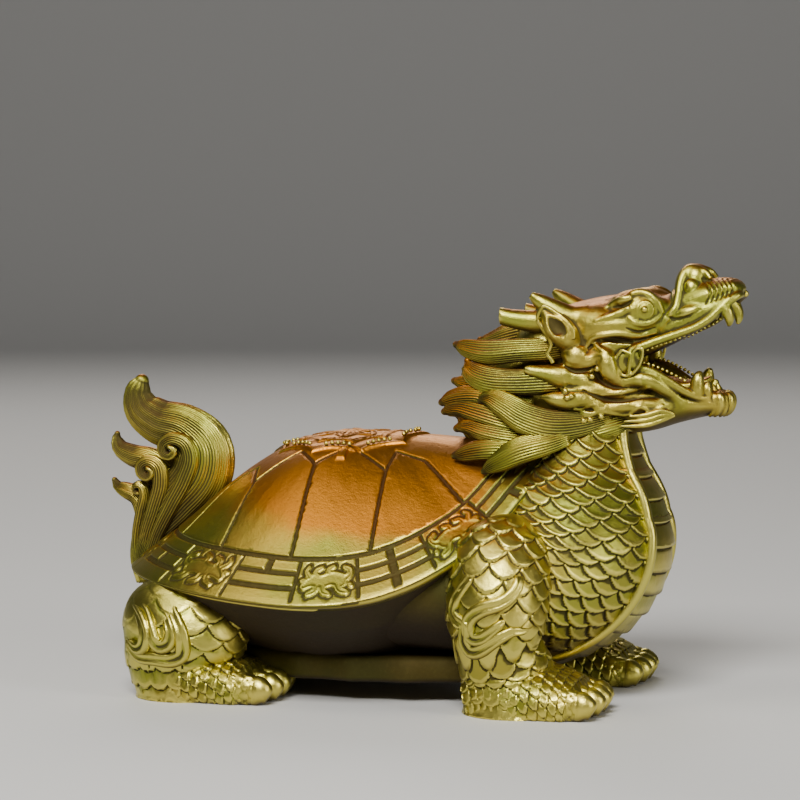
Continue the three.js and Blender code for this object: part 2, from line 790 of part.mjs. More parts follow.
function head() {
  const side = (rows, options) => bothSides(sweep(stations(rows), options));
  const small = { sides: 7, steps: 6 };
  const parts = [
    solidOf(sweep(stations(UPPER_HEAD), { sides: 16, steps: 16 })),
    solidOf(sweep(stations(LOWER_JAW), { sides: 12, steps: 10 })),
    solidOf(ellipsoid(80, 0, 77.6, 2.6, 5, 2.4, 8, 5)),
    solidOf(ellipsoid(72.6, 0, 108, 5.2, 5, 7, 10, 8)),
  ];
  const nostril = new THREE.SphereGeometry(NOSTRIL_RADIUS, 8, 6);
  parts.push(bothSides(nostril.translate(73.5 * SQUARE, -5.6 * SQUARE, 107.6 * SQUARE)));
  const eye = new THREE.SphereGeometry(EYE_RADIUS, 8, 6);
  parts.push(bothSides(eye.translate(61 * SQUARE, -9 * SQUARE, 103.2 * SQUARE)));
  const brow = [
    [66.5, -8.5, 102.6, 1],
    [63.5, -10, 105.4, 1.6],
    [58.6, -10, 106.4, 1.9],
    [54, -11, 104.4, 1.6],
    [48.5, -12.5, 101.8, 0.4],
  ];
  const upperLip = [
    [84, -4, 105.6, LIP_RADIUS],
    [79.5, -7.6, 102.2, LIP_RADIUS],
    [74.5, -9, 97.6, LIP_RADIUS * 1.3],
    [68.5, -9.6, 94, LIP_RADIUS * 1.3],
    [61, -11.4, 91, LIP_RADIUS * 1.2],
    [57.6, -12.6, 87.4, LIP_RADIUS],
    [56.2, -12.8, 84.4, 0.5],
  ];
  const lowerLip = [
    [79, -5, 80.8, LIP_RADIUS],
    [72, -8, 81.6, LIP_RADIUS],
    [65, -9.6, 84.2, LIP_RADIUS],
    [57.5, -11, 86.6, LIP_RADIUS],
  ];
  const longHorn = [
    [46, -9, 101, 3],
    [36, -11.5, 99.6, 3.1, 3.1],
    [27, -13, 100.2, 2.4, 2.6],
    [20.5, -14, 102, 1.8],
    [17.6, -14.2, 103, 0.7],
  ];
  const shortHorn = [
    [46, -8, 101.5, 2.4],
    [38.5, -9.5, 104, 2],
    [33, -10.5, 106, 1.5],
    [30.6, -11, 107, 0.6],
  ];
  const ear = [
    [43.5, -12, 94, 2, 3],
    [39.6, -14.4, 96.8, 1.8, 4.6],
    [35.8, -16, 100.6, 1.2, 2.4],
    [34, -16.5, 103, 0.4],
  ];
  const cheekSpike = [
    [46, -12.5, 84.6, 3],
    [38, -14.5, 84.8, 2.6],
    [31.5, -16, 85.6, 1.6],
    [27.6, -16.6, 86.2, 0.4],
  ];
  const frill = [
    [62, -8, 75, 2, 3],
    [55, -10, 73.6, 2, 3],
    [48, -12.5, 75.6, 1.6, 3],
    [40, -14.5, 79, 0.5],
  ];
  for (const rows of [brow, longHorn, shortHorn, ear, cheekSpike, frill]) {
    parts.push(side(rows, small));
  }
  parts.push(side(upperLip, { sides: 6, steps: 10 }));
  parts.push(side(lowerLip, small));
  for (const [x, y, z, a, b, c] of [
    [52, -9.5, 94, 7.5, 5, 5],
    [46, -10.5, 92.4, 4.6, 4.6, 3.6],
    [49, -10.5, 84.5, 7, 4, 4.4],
    [45, -11.5, 78.5, 6, 3.6, 3.6],
  ]) {
    parts.push(bothSides(ellipsoid(x, y, z, a, b, c, 8, 6)));
  }
  const fangs = [
    [78.8, -5.6, 103.6, 0.5, -1],
    [75.4, -4.4, 81, -0.2, 1],
    [72, -5.8, 81.6, -0.2, 1],
  ];
  for (const [x, y, z, lean, rise] of fangs) {
    const root = point(x, y, z);
    const reach = new THREE.Vector3(lean, 0, rise).normalize().multiplyScalar(FANG_LENGTH);
    parts.push(bothSides(spike(root, root.clone().add(reach), FANG_RADIUS, 4)));
  }
  const upperRow = [point(64, -6.6, 91), point(77, -5.6, 95.8)];
  const lowerRow = [point(62.5, -7.4, 85), point(72, -6.4, 81.6)];
  for (const [[start, end], rise] of [[upperRow, -1], [lowerRow, 1]]) {
    const teeth = Math.max(2, Math.round(start.distanceTo(end) / TOOTH_PITCH));
    for (let i = 0; i < teeth; i++) {
      const root = start.clone().lerp(end, i / (teeth - 1));
      const tip = root.clone().addScaledVector(UP, rise * TOOTH_HEIGHT);
      root.addScaledVector(UP, -rise * TOOTH_HEIGHT);
      parts.push(bothSides(spike(root, tip, TOOTH_PITCH / 3, 4)));
    }
  }
  return parts;
}

// Mane: locks of parallel strands that sweep back and curl up at their tips, in rows of
// x, y, z, half thickness and half height, in grid squares
const LOCKS = [
  [
    [42, -8, 97.5, 3, 3],
    [30, -10.5, 95.8, 3.2, 4.6],
    [19, -11.5, 93.6, 2.6, 3.6],
    [11.5, -12, 94.6, 0.8, 0.9],
  ],
  [
    [43, -10, 90, 3, 4],
    [31, -13.5, 89.4, 3.2, 4.4],
    [20, -14.5, 88, 2.6, 3.4],
    [13, -14, 89.4, 0.8, 0.9],
  ],
  [
    [44, -11, 83, 3, 4],
    [33, -14.5, 81.4, 3.2, 3.6],
    [22, -15.5, 81, 2.8, 3.2],
    [14, -14.5, 85.4, 0.8, 0.9],
  ],
  [
    [54, -10, 77.2, 2.4, 3],
    [43, -14.5, 74.6, 3, 4.2],
    [31, -17, 73.6, 3.2, 4.4],
    [22, -16.5, 77.4, 2.4, 3],
    [16.8, -15, 79.6, 0.8, 0.9],
  ],
  [
    [38, -13, 74, 3, 3.6],
    [26, -15.5, 72.4, 3, 3.6],
    [15, -15, 75, 2.4, 3.2],
    [7.6, -13, 78.4, 0.8, 0.9],
  ],
  [[36, -15, 69, 3, 3], [24, -17, 69, 2.8, 3], [16, -16, 68.6, 2.2, 2.4], [11, -14.5, 70.6, 0.7, 0.8]],
  [
    [34, -15, 65.6, 3, 3],
    [23, -17, 65, 2.6, 2.8],
    [16, -15.5, 63.4, 2, 2.2],
    [10.6, -14, 63.6, 0.7, 0.8],
  ],
  [
    [44, -15, 68, 2.6, 3],
    [35, -18.5, 65.6, 3, 4.4],
    [26, -20, 61.6, 2.6, 3.6],
    [18.4, -19, 58.6, 0.6, 0.8],
  ],
  [
    [61, -7, 74.4, 2, 2],
    [54, -10.5, 72.2, 2, 3],
    [46, -13.5, 69.4, 1, 1.4],
    [44.6, -14, 68.4, 0.5, 0.6],
  ],
];
const NAPE_LOCKS = [
  [[38, 0, 97, 6, 3], [26, 0, 95.6, 6, 4], [16, 0, 92, 4.6, 3.6], [10.6, 0, 93.4, 1.2, 0.9]],
  [[36, 0, 86, 9, 6], [24, 0, 84.6, 9, 6], [15, 0, 82, 6.6, 4], [9.6, 0, 84.6, 1.4, 0.9]],
  [[36, 0, 75, 10, 7], [25, 0, 72, 10, 7], [15, 0, 71, 7, 4.4], [8.6, 0, 74, 1.4, 1]],
];

function mane() {
  const strands = (t, angle, i, j) => (j % 2 ? STRAND_LIFT : 0);
  const options = { sides: 8, steps: 8, lift: strands };
  return [
    LOCKS.map((rows) => bothSides(sweep(stations(rows), options))),
    NAPE_LOCKS.map((rows) => solidOf(sweep(stations(rows), options))),
    solidOf(ellipsoid(30, 0, 81, 13, 13.5, 15, 10, 6)),
    solidOf(ellipsoid(33, 0, 68, 12, 17, 10, 10, 6)),
  ];
}

// Tail: flames that rise behind the shell, with spiral curls on both faces
const FLAMES = [
  [
    [-72, 0, 26, 6, 7],
    [-73, 0, 38, 6.6, 9],
    [-69, 0, 49, 7.4, 12],
    [-67.8, 0, 58, 7, 13.4],
    [-70.4, 0, 65, 6, 12],
    [-77, 0, 71, 4.6, 7.6],
    [-80.2, 0, 75.6, 3.6, 5.4],
    [-80.8, 0, 79.6, 2.2, 2.8],
    [-80.6, 0, 82.3, 0.7, 0.7],
  ],
  [
    [-74, 0, 26, 5, 5],
    [-77.6, 0, 39, 5.6, 6],
    [-78, 0, 51, 5.6, 6.6],
    [-81, 0, 58, 4.6, 5],
    [-85.6, 0, 62.4, 2.4, 2.4],
    [-89.6, 0, 65.2, 0.7, 0.7],
  ],
  [
    [-75, 0, 25, 4, 4],
    [-79.6, 0, 34, 4.6, 5],
    [-80.4, 0, 45, 4.6, 5],
    [-84.4, 0, 50.4, 3.4, 3.6],
    [-87.6, 0, 52.6, 1.8, 1.8],
    [-90.2, 0, 54.2, 0.6, 0.6],
  ],
];
const CURLS = [
  [-71.6, 62.6, 1],
  [-78.4, 55.8, 1],
  [-82, 50.4, 0.7],
];

function tail() {
  const strands = (t, angle, i, j) => (j % 2 ? STRAND_LIFT : 0);
  const parts = FLAMES.map((rows) =>
    solidOf(sweep(stations(rows), { reference: AHEAD, sides: 12, steps: 11, lift: strands })),
  );
  for (const [x, z, share] of CURLS) {
    const ring = new THREE.TorusGeometry(CURL_RADIUS * share, CURL_ROLL * share * 1.3, 6, 12);
    ring.rotateX(Math.PI / 2);
    const depth = share < 1 ? 4.2 : 5.6;
    parts.push(bothSides(ring.translate(x * SQUARE, -depth * SQUARE, z * SQUARE)));
    parts.push(bothSides(ellipsoid(x, -depth, z, 1.4 * share, 1.6, 1.4 * share, 5, 3)));
  }
  return parts;
}

// The whole casting, cut level where the feet stand
function figure() {
  const trunk = [shell(), body(), chestCords(), plastron()];
  const whole = joined([trunk, leg(FRONT_LEG), leg(HIND_LEG), head(), mane(), tail()]);
  const reach = FIGURE_HEIGHT * 4;
  const below = new THREE.BoxGeometry(reach, reach, FIGURE_HEIGHT).translate(0, 0, -FIGURE_HEIGHT / 2);
  return filled(whole.subtract(solidOf(below)));
}

const geometry = thinned(figure(), TRIANGLES);
geometry.computeBoundingBox();
const box = geometry.boundingBox;
geometry.translate(-(box.min.x + box.max.x) / 2, -(box.min.y + box.max.y) / 2, -box.min.z);

const brass = new THREE.MeshStandardMaterial({ color: 0xb09a45, roughness: 0.38, metalness: 1 });
const casting = new THREE.Mesh(geometry, brass);
casting.name = "dragon_turtle";

const group = new THREE.Group();
group.add(casting);
export default group;
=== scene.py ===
# A cast brass dragon turtle, dressed over its solid: shell, body, legs, head, mane and tail.

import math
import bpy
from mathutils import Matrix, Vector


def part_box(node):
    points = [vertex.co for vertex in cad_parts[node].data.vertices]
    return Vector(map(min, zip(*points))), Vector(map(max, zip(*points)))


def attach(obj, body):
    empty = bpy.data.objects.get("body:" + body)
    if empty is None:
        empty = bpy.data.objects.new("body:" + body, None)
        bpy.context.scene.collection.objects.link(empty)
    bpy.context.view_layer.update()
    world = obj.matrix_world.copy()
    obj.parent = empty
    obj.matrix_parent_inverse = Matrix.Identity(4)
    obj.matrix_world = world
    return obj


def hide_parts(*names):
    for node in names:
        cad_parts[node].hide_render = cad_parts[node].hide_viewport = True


bl_info = {
    "name": "Dragon turtle figure",
    "version": (1, 0, 0),
    "blender": (4, 5, 0),
    "location": "View3D > Sidebar > Dragon turtle",
    "description": "Makes a cast brass dragon turtle's carved surface, its finish and its stage",
    "category": "Object",
}

import bpy
import numpy as np
import openvdb

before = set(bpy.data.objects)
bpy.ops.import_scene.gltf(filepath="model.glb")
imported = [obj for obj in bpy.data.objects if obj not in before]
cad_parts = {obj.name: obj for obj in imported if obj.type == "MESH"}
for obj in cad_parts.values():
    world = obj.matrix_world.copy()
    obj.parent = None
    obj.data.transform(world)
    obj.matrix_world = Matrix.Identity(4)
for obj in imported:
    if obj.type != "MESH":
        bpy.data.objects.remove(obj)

NODE = "dragon_turtle"

# The drawing's grid
# One square is a millimetre. Forms are drawn in squares, with the tail's tip at TAIL_TIP, and
# moved to the solid's place at the end.
MM = 0.001
TAIL_TIP = -90.585
DRAWING_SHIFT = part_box(NODE)[0].x / MM - TAIL_TIP

# A distance, in squares, past everything that is looked for
FAR = 9.0

AHEAD = np.array([1.0, 0.0, 0.0])
LEFT = np.array([0.0, 1.0, 0.0])
UP = np.array([0.0, 0.0, 1.0])


# Numbers and curves


def smooth(t):
    t = np.clip(t, 0, 1)
    return t * t * (3 - 2 * t)


def bell(distance, width):
    """1 at distance 0, falling away smoothly within about twice the width."""
    return np.exp(-((distance / width) ** 2))


def all_round(count):
    """Even angles round a circle."""
    return 2 * np.pi * np.arange(count) / count


def columns(values, count):
    """One value for each ring of a grid, repeated for each of its places."""
    return np.repeat(values[:, None], count, 1)


def unit(v):
    return v / np.maximum(np.linalg.norm(v, axis=-1, keepdims=True), 1e-9)


def curve(rows, t):
    """Rows of numbers, the first three a place, followed smoothly: values and directions at t."""
    rows = np.asarray(rows, float)
    ends = np.vstack([2 * rows[0] - rows[1], rows, 2 * rows[-1] - rows[-2]])
    stretches = len(rows) - 1
    place = np.clip(t, 0, 1) * stretches
    first = np.minimum(place.astype(int), stretches - 1)
    share = (place - first)[:, None]
    p0, p1, p2, p3 = (ends[first + k] for k in range(4))
    d0, d1, d2 = (
        np.maximum(np.linalg.norm((b - a)[:, :3], axis=1), 1e-6)[:, None] ** 0.5
        for a, b in ((p0, p1), (p1, p2), (p2, p3))
    )
    out_of = ((p1 - p0) / d0 - (p2 - p0) / (d0 + d1) + (p2 - p1) / d1) * d1
    into = ((p2 - p1) / d1 - (p3 - p1) / (d1 + d2) + (p3 - p2) / d2) * d1
    second = 3 * (p2 - p1) - 2 * out_of - into
    third = 2 * (p1 - p2) + out_of + into
    values = p1 + out_of * share + second * share**2 + third * share**3
    slopes = out_of + 2 * second * share + 3 * third * share**2
    return values, unit(slopes[:, :3])


def along(pairs, x):
    pairs = np.asarray(pairs, float)
    return np.interp(x, pairs[:, 0], pairs[:, 1])


def polyline(points, count):
    """A smooth line through points, as many places as count."""
    points = np.asarray(points, float)
    padded = np.hstack([points, np.zeros((len(points), 3 - points.shape[1]))])
    values, _ = curve(padded, np.linspace(0, 1, count))
    return values[:, : points.shape[1]]


def line_distance(places, line, reach):
    """Distance from each place to a line, and how far along it the nearest point is, 0 to 1."""
    nearest = np.full(len(places), reach, float)
    share = np.zeros(len(places))
    pieces = len(line) - 1
    for k in range(pieces):
        start, end = line[k], line[k + 1]
        low = np.minimum(start, end) - reach
        high = np.maximum(start, end) + reach
        close = np.where(np.all((places > low) & (places < high), axis=1))[0]
        if not len(close):
            continue
        ray = end - start
        offset = places[close] - start
        part = np.clip(offset @ ray / max(ray @ ray, 1e-12), 0, 1)
        gap = np.linalg.norm(offset - part[:, None] * ray, axis=1)
        better = gap < nearest[close]
        hit = close[better]
        nearest[hit] = gap[better]
        share[hit] = (k + part[better]) / pieces
    return nearest, share


# Closed forms: a form is (places, four-cornered faces, three-cornered faces)


def walls(here, ahead):
    """The four-cornered faces between rings of corners and the rings ahead of them."""
    faces = np.stack([here, np.roll(here, -1, 1), np.roll(ahead, -1, 1), ahead], -1)
    return faces.reshape(-1, 4)


def tube(grid):
    """A closed form from a grid of rings, each ring closed, with its two ends capped."""
    rings, sides, _ = grid.shape
    index = np.arange(rings * sides).reshape(rings, sides)
    quads = walls(index[:-1], index[1:])
    start, end = rings * sides, rings * sides + 1
    caps = np.vstack([
        np.stack([np.full(sides, start), np.roll(index[0], -1), index[0]], -1),
        np.stack([np.full(sides, end), index[-1], np.roll(index[-1], -1)], -1),
    ])
    places = np.vstack([grid.reshape(-1, 3), grid[0].mean(0), grid[-1].mean(0)])
    if volume(places, quads) < 0:
        quads, caps = quads[:, ::-1], caps[:, ::-1]
    return places, quads, caps


def volume(places, quads):
    """Six times the room that the faces close in, below 0 where they point inwards."""
    corners = places[quads] - places.mean(0)
    flat = np.cross(corners[:, 2] - corners[:, 0], corners[:, 3] - corners[:, 1])
    return (corners.mean(1) * flat).sum()


def closed_ring(grid):
    """A form from a grid of rings that comes round to its own start."""
    rings, sides, _ = grid.shape
    index = np.arange(rings * sides).reshape(rings, sides)
    quads = walls(index, np.roll(index, -1, 0))
    places = grid.reshape(-1, 3)
    if volume(places, quads) < 0:
        quads = quads[:, ::-1]
    return places, quads, np.zeros((0, 3), int)


def ball(x, y, z, a, b, c, around=36, down=18):
    """A rounded form at x, y, z with half sizes a, b and c."""
    turn = all_round(around)
    fall = np.pi * (np.arange(down) + 0.5) / down
    rings = np.stack([
        np.outer(np.sin(fall), np.cos(turn)) * a,
        np.outer(np.sin(fall), np.sin(turn)) * b,
        np.outer(np.cos(fall), np.ones(around)) * c,
    ], -1)
    return tube(rings + np.array([x, y, z], float))


def ringed(values, across, wide, over, tall):
    """Rings of places round the places that values begin with."""
    return values[:, None, :3] + across[:, None] * wide[..., None] + over[:, None] * tall[..., None]


def sections(rows, steps, sides, reference=UP, square=1.0):
    """Rings of rounded sections along rows of x, y, z, half width and half height. Steps and
    sides are counts, or the shares and angles themselves."""
    rows = [tuple(row) + (row[3],) * (5 - len(row)) for row in rows]
    t = np.linspace(0, 1, steps + 1) if np.ndim(steps) == 0 else steps
    values, tangent = curve(rows, t)
    across = unit(np.cross(reference, tangent))
    over = unit(np.cross(tangent, across))
    angle = all_round(sides) if np.ndim(sides) == 0 else sides
    c, s = np.cos(angle), np.sin(angle)
    c = np.sign(c) * np.abs(c) ** square
    s = np.sign(s) * np.abs(s) ** square
    wide = np.maximum(values[:, 3:4], 0.05) * c
    tall = np.maximum(values[:, 4:5], 0.05) * s
    return ringed(values, across, wide, over, tall)


def outward(grid):
    """Directions out of a grid of closed rings."""
    around = np.roll(grid, -1, 1) - np.roll(grid, 1, 1)
    ahead = np.gradient(grid, axis=0)
    normal = unit(np.cross(ahead, around))
    middle = grid.mean(1, keepdims=True)
    if ((grid - middle) * normal).sum() < 0:
        normal = -normal
    return normal


def raised(grid, height):
    return grid + outward(grid) * height[..., None]


def sweep(rows, steps=24, sides=24, reference=UP, square=1.0):
    return tube(sections(rows, steps, sides, reference, square))


def mirrored(form):
    places, quads, triangles = form
    return places * np.array([1, -1, 1]), quads[:, ::-1], triangles[:, ::-1]


def pair(form):
    return [form, mirrored(form)]


def girth(grid):
    """Length round each ring, from its first place to each place."""
    gaps = np.linalg.norm(np.roll(grid, -1, 1) - grid, axis=2)
    return np.cumsum(gaps, 1) - gaps


def run(grid):
    """Length along the grid, from its first ring, at each place."""
    gaps = np.linalg.norm(np.diff(grid, axis=0), axis=2)
    return np.vstack([np.zeros((1, grid.shape[1])), np.cumsum(gaps, 0)])


def scales(u, v, row, rise, rim, overlap=1.05, line=0.3, round_edge=0.5):
    """Height of overlapping scales with rounded free edges towards growing v. u counts scales
    across, v counts rows, and row is a row's length in squares. Each scale climbs by rise to its
    raised rim, with a line of depth beyond it."""
    found = np.zeros(u.shape, bool)
    side, left = np.zeros(u.shape), np.zeros(u.shape)
    past = np.full(u.shape, FAR)
    for step in (2, 1, 0):
        number = np.floor(v) - step
        across = u - 0.5 * np.mod(number, 2)
        across = across - np.round(across)
        bow = np.maximum(0, 1 - (2 * across) ** 2)
        edge = overlap * (round_edge * np.sqrt(bow) + (1 - round_edge) * bow)
        ahead = (number + 1 + edge - v) * row
        past = np.where(~found & (ahead <= 0), np.minimum(past, -ahead), past)
        take = ~found & (ahead > 0)
        side = np.where(take, across, side)
        left = np.where(take, ahead, left)
        found |= take
    height = rise * (1 - left / (row * (1 + overlap)))
    height += 0.6 * rim * bell(left - 0.5, 0.55)
    height -= 0.3 * rise * (2 * side) ** 2
    return height - line * bell(past, 0.34)


def grain(shape, seed, size):
    """Even random bumps, from -1 to 1, over a grid: size is the grid steps of one bump."""
    random = np.random.default_rng(seed)
    coarse = random.uniform(-1, 1, (shape[0] // size + 2, shape[1] // size + 2))
    down = np.arange(shape[0]) / size
    across = np.arange(shape[1]) / size
    r, c = down.astype(int), across.astype(int)
    fr, fc = smooth(down - r)[:, None], smooth(across - c)[None, :]
    top = coarse[r][:, c] * (1 - fc) + coarse[r][:, c + 1] * fc
    low = coarse[r + 1][:, c] * (1 - fc) + coarse[r + 1][:, c + 1] * fc
    return top * (1 - fr) + low * fr


class Clay:
    """A block of distances to a surface, in squares, where forms are joined and cut."""

    def __init__(self, low, high, cell):
        self.cell = cell
        self.band = 6
        self.low = np.floor(np.array(low) / cell).astype(int)
        count = np.ceil(np.array(high) / cell).astype(int) - self.low + 1
        self.far = self.band * cell
        self.field = np.full(tuple(count), self.far, np.float32)
        self.transform = openvdb.createLinearTransform(voxelSize=cell)

    def near(self, form):
        """Where the form lies in the block, and the distances to its surface there."""
        places, quads, triangles = form
        grid = openvdb.FloatGrid.createLevelSetFromPolygons(
            places.astype(np.float32),
            triangles=triangles.astype(np.uint32),
            quads=quads.astype(np.uint32),
            transform=self.transform,
            halfWidth=self.band,
        )
        start, end = grid.evalActiveVoxelBoundingBox()
        start = np.maximum(np.array(start) - 1, self.low)
        end = np.minimum(np.array(end) + 2, self.low + self.field.shape)
        if np.any(end <= start):
            return None, None
        block = np.full(tuple(end - start), self.far, np.float32)
        grid.copyToArray(block, ijk=tuple(int(k) for k in start))
        a, b = start - self.low, end - self.low
        return tuple(slice(*ends) for ends in zip(a, b)), block

    def add(self, forms, blend, sign=1):
        """Joins forms on, eased over the blend, or cuts them out where the sign is -1."""
        for form in forms:
            where, block = self.near(form)
            if where is None:
                continue
            here = self.field[where]
            block = sign * block
            share = np.clip(0.5 + sign * 0.5 * (block - here) / blend, 0, 1)
            easing = sign * blend * share * (1 - share)
            self.field[where] = block + (here - block) * share - easing

    def cut(self, forms, blend):
        self.add(forms, blend, -1)

    def skin(self, x, z):
        """The y of the surface on the figure's right at x, z."""
        i, k = (int(round(value / self.cell)) for value in (x, z))
        inside = np.nonzero(self.field[i - self.low[0], :, k - self.low[2]] < 0)[0]
        return (self.low[1] + inside[0]) * self.cell if len(inside) else 0.0

    def form(self):
        grid = openvdb.FloatGrid(self.far)
        grid.copyFromArray(self.field, ijk=tuple(int(k) for k in self.low))
        grid.transform = self.transform
        places, triangles, quads = grid.convertToPolygons(isovalue=0, adaptivity=0)
        empty = np.zeros((0, 3), int)
        triangles = triangles.astype(int) if len(triangles) else empty
        return places.astype(float), quads.astype(int), triangles


# Blender objects

finish_of = {}
crowding = {}

# For each carved piece, its most triangles, how strongly its hollows darken with oxide and painted
# shade, and how far its edges are rubbed bright, which also paints highlights on them
CARVED = {
    "shell_dome": (86000, 0.5, 0.2),
    "shell_band": (160000, 1.0, 0.6),
    "scaled_body": (140000, 2.1, 0.5),
    "front_legs": (95000, 1.6, 0.5),
    "hind_legs": (80000, 1.6, 0.5),
    "dragon_head": (155000, 1.0, 1.0),
    "mane": (170000, 2.0, 0.25),
    "flame_tail": (105000, 1.8, 0.35),
}
# Shades above this threshold leave no rubbed edges and no painted edge highlights. OLD_PATINA is
# the darker tone of finely stranded parts.
NO_RUB_OR_SHEEN = 0.125
OLD_PATINA = 0.117


def settings():
    return bpy.context.scene.dragon_turtle


def placed(name, data):
    """A new object in the scene."""
    thing = bpy.data.objects.new(name, data)
    bpy.context.scene.collection.objects.link(thing)
    return thing


def worked_out(thing):
    """The mesh that an object's modifiers make of it."""
    graph = bpy.context.evaluated_depsgraph_get()
    return bpy.data.meshes.new_from_object(thing.evaluated_get(graph))


def dressed(piece):
    """The piece as part of the solid's surface."""
    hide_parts(NODE)
    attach(piece, "root")
    return piece


def read(items, name, width, kind=float):
    """A value of each item of a mesh, in rows of as many numbers as width."""
    values = np.empty(len(items) * width, kind)
    items.foreach_get(name, values)
    return values.reshape(-1, width)


def mesh_object(name, forms):
    places, faces, start = [], [], 0
    for form_places, quads, triangles in forms:
        places.append(form_places)
        faces += (quads + start).tolist()
        faces += (triangles + start).tolist()
        start += len(form_places)
    places = (np.vstack(places) + DRAWING_SHIFT * AHEAD) * MM
    mesh = bpy.data.meshes.new(name)
    mesh.from_pydata(places, [], faces)
    mesh.update()
    return placed(name, mesh)


def thinned(piece, most):
    """Takes the piece's mesh down to the most triangles that it may have."""
    count = sum(len(face.vertices) - 2 for face in piece.data.polygons)
    if count <= most:
        return
    thin = piece.modifiers.new("thin", "DECIMATE")
    thin.ratio = most / count
    thin.use_collapse_triangulate = True
    mesh = worked_out(piece)
    piece.modifiers.clear()
    dense = piece.data
    piece.data = mesh
    mesh.name = piece.name
    bpy.data.meshes.remove(dense)


def finished(name, forms, darken_by=None):
    piece = mesh_object(name, forms)
    most, gain, edge_rub_and_sheen = CARVED[name]
    thinned(piece, most)
    piece.data.shade_smooth()
    mark_recess_and_shade(piece, darken_by, gain, edge_rub_and_sheen)
    piece.data.materials.append(brass())
    return dressed(piece)


def mark_recess_and_shade(piece, darken_by=None, gain=1.0, edge_rub_and_sheen=1.0):
    """How deep each point lies under its surroundings, kept as an attribute of the mesh, and
    darkened further by a function of its place: dark groove floors, painted shade under the shell
    and in the face's hollows, or a darker tone all over. The attribute colours the metal's oxide in
    hollows together with painted shade. Gain is how strongly hollows count, and the last number how
    far edges are rubbed bright, which also paints highlights on them. Each point's shelter is kept
    as well, for painted shade."""
    mesh = piece.data
    places = read(mesh.vertices, "co", 3) / MM
    normals = read(mesh.vertices, "normal", 3)
    a, b = read(mesh.edges, "vertices", 2, int).T

    def neighbours(values):
        """The sum of the values of the points that each point is joined to."""
        total = np.bincount(a, weights=values[b], minlength=len(values))
        return total + np.bincount(b, weights=values[a], minlength=len(values))

    joined = np.maximum(neighbours(np.ones(len(places))), 1)
    eased = places
    for _ in range(settings().recess_spread):
        total = np.stack([neighbours(values) for values in eased.T], -1)
        eased = 0.4 * eased + 0.6 * total / joined[:, None]
    depth = ((eased - places) * normals).sum(1)
    depth = gain * (0.7 * depth + 0.3 * neighbours(depth) / joined)
    depth = np.where(depth < 0, edge_rub_and_sheen * depth, depth)
    if darken_by:
        # The added darkness is groove floors, painted shade or a darker tone; where strong it
        # leaves no rubbed, highlit edges
        shade = darken_by(places - DRAWING_SHIFT * AHEAD)
        depth = np.where(shade > NO_RUB_OR_SHEEN, np.maximum(depth, 0), depth) + shade
    # The first attribute colours oxide and painted shade; the second, shelter, paints shade in
    # hollows and below
    for name, values in (("recess", depth), ("shelter", shelter(places, normals))):
        attribute = mesh.attributes.new(name, "FLOAT", "POINT")
        attribute.data.foreach_set("value", values.astype(np.float32))


def blurred(field, reach, times):
    """The field averaged over a box of cells along each axis, several times."""
    for axis in range(3):
        for _ in range(times):
            before = np.repeat(field.take([0], axis), reach + 1, axis)
            beyond = np.repeat(field.take([-1], axis), reach, axis)
            total = np.cumsum(np.concatenate([before, field, beyond], axis), axis)
            count = field.shape[axis]
            wide = 2 * reach + 1
            after = total.take(range(wide, wide + count), axis)
            field = (after - total.take(range(count), axis)) / wide
    return field


def crowd():
    """How full of metal the surroundings of each place are, on a grid of one square."""
    if crowding:
        return crowding
    margin, floor, band = 14, -2, 3
    mesh = bpy.data.objects[NODE].data
    mesh.calc_loop_triangles()
    places = read(mesh.vertices, "co", 3, np.float32) / MM
    corners = read(mesh.loop_triangles, "vertices", 3, np.int32)
    _, whole, order = np.unique(places.round(3), axis=0, return_index=True, return_inverse=True)
    grid = openvdb.FloatGrid.createLevelSetFromPolygons(
        places[whole], triangles=order.reshape(-1)[corners].astype(np.uint32),
        transform=openvdb.createLinearTransform(voxelSize=1), halfWidth=band,
    )
    low = np.floor(places.min(0)).astype(int) - margin
    low[2] = floor
    count = np.ceil(places.max(0)).astype(int) + margin - low
    block = np.full(tuple(count), band, np.float32)
    grid.copyToArray(block, ijk=tuple(int(k) for k in low))
    full = np.clip(0.5 - block, 0, 1)
    crowding.update(low=low, near=blurred(full, 2, 2), wide=blurred(full, 5, 2))
    return crowding


def sampled(field, low, places):
    """The field at each place, eased between its cells."""
    place = np.clip(places - low, 0, np.array(field.shape) - 1.001)
    cell = place.astype(int)
    part = place - cell
    total = 0
    for corner in np.ndindex(2, 2, 2):
        share = np.prod(np.where(corner, part, 1 - part), axis=1)
        x, y, z = (cell + corner).T
        total = total + field[x, y, z] * share
    return total


def shelter(places, normals):
    """How closed in each point of the skin is: 0 in the open, 1 in a deep hollow. The material
    paints shade from it.
    """
    around = crowd()
    near = sampled(around["near"], around["low"], places + normals * 1.5)
    wide = sampled(around["wide"], around["low"], places + normals * 4)
    return np.clip(0.55 * near + 1.3 * wide - 0.45, 0, 1)


# Shader maths


class Value:
    """A socket of the node tree that can be used in sums."""

    def __init__(self, tree, socket):
        self.tree = tree
        self.socket = socket

    def maths(self, operation, *others):
        return self.tree.node("ShaderNodeMath", {"operation": operation}, [self, *others])

    def __add__(self, other):
        return self.maths("ADD", other)

    def __sub__(self, other):
        return self.maths("SUBTRACT", other)

    def __mul__(self, other):
        return self.maths("MULTIPLY", other)

    __radd__ = __add__
    __rmul__ = __mul__

    def __rsub__(self, other):
        return self.tree.node("ShaderNodeMath", {"operation": "SUBTRACT"}, [other, self])

    def between(self, low, high):
        """0 at low, 1 at high, eased between."""
        return self.tree.node(
            "ShaderNodeMapRange",
            {"interpolation_type": "SMOOTHSTEP"},
            {"Value": self, "From Min": low, "From Max": high},
        )


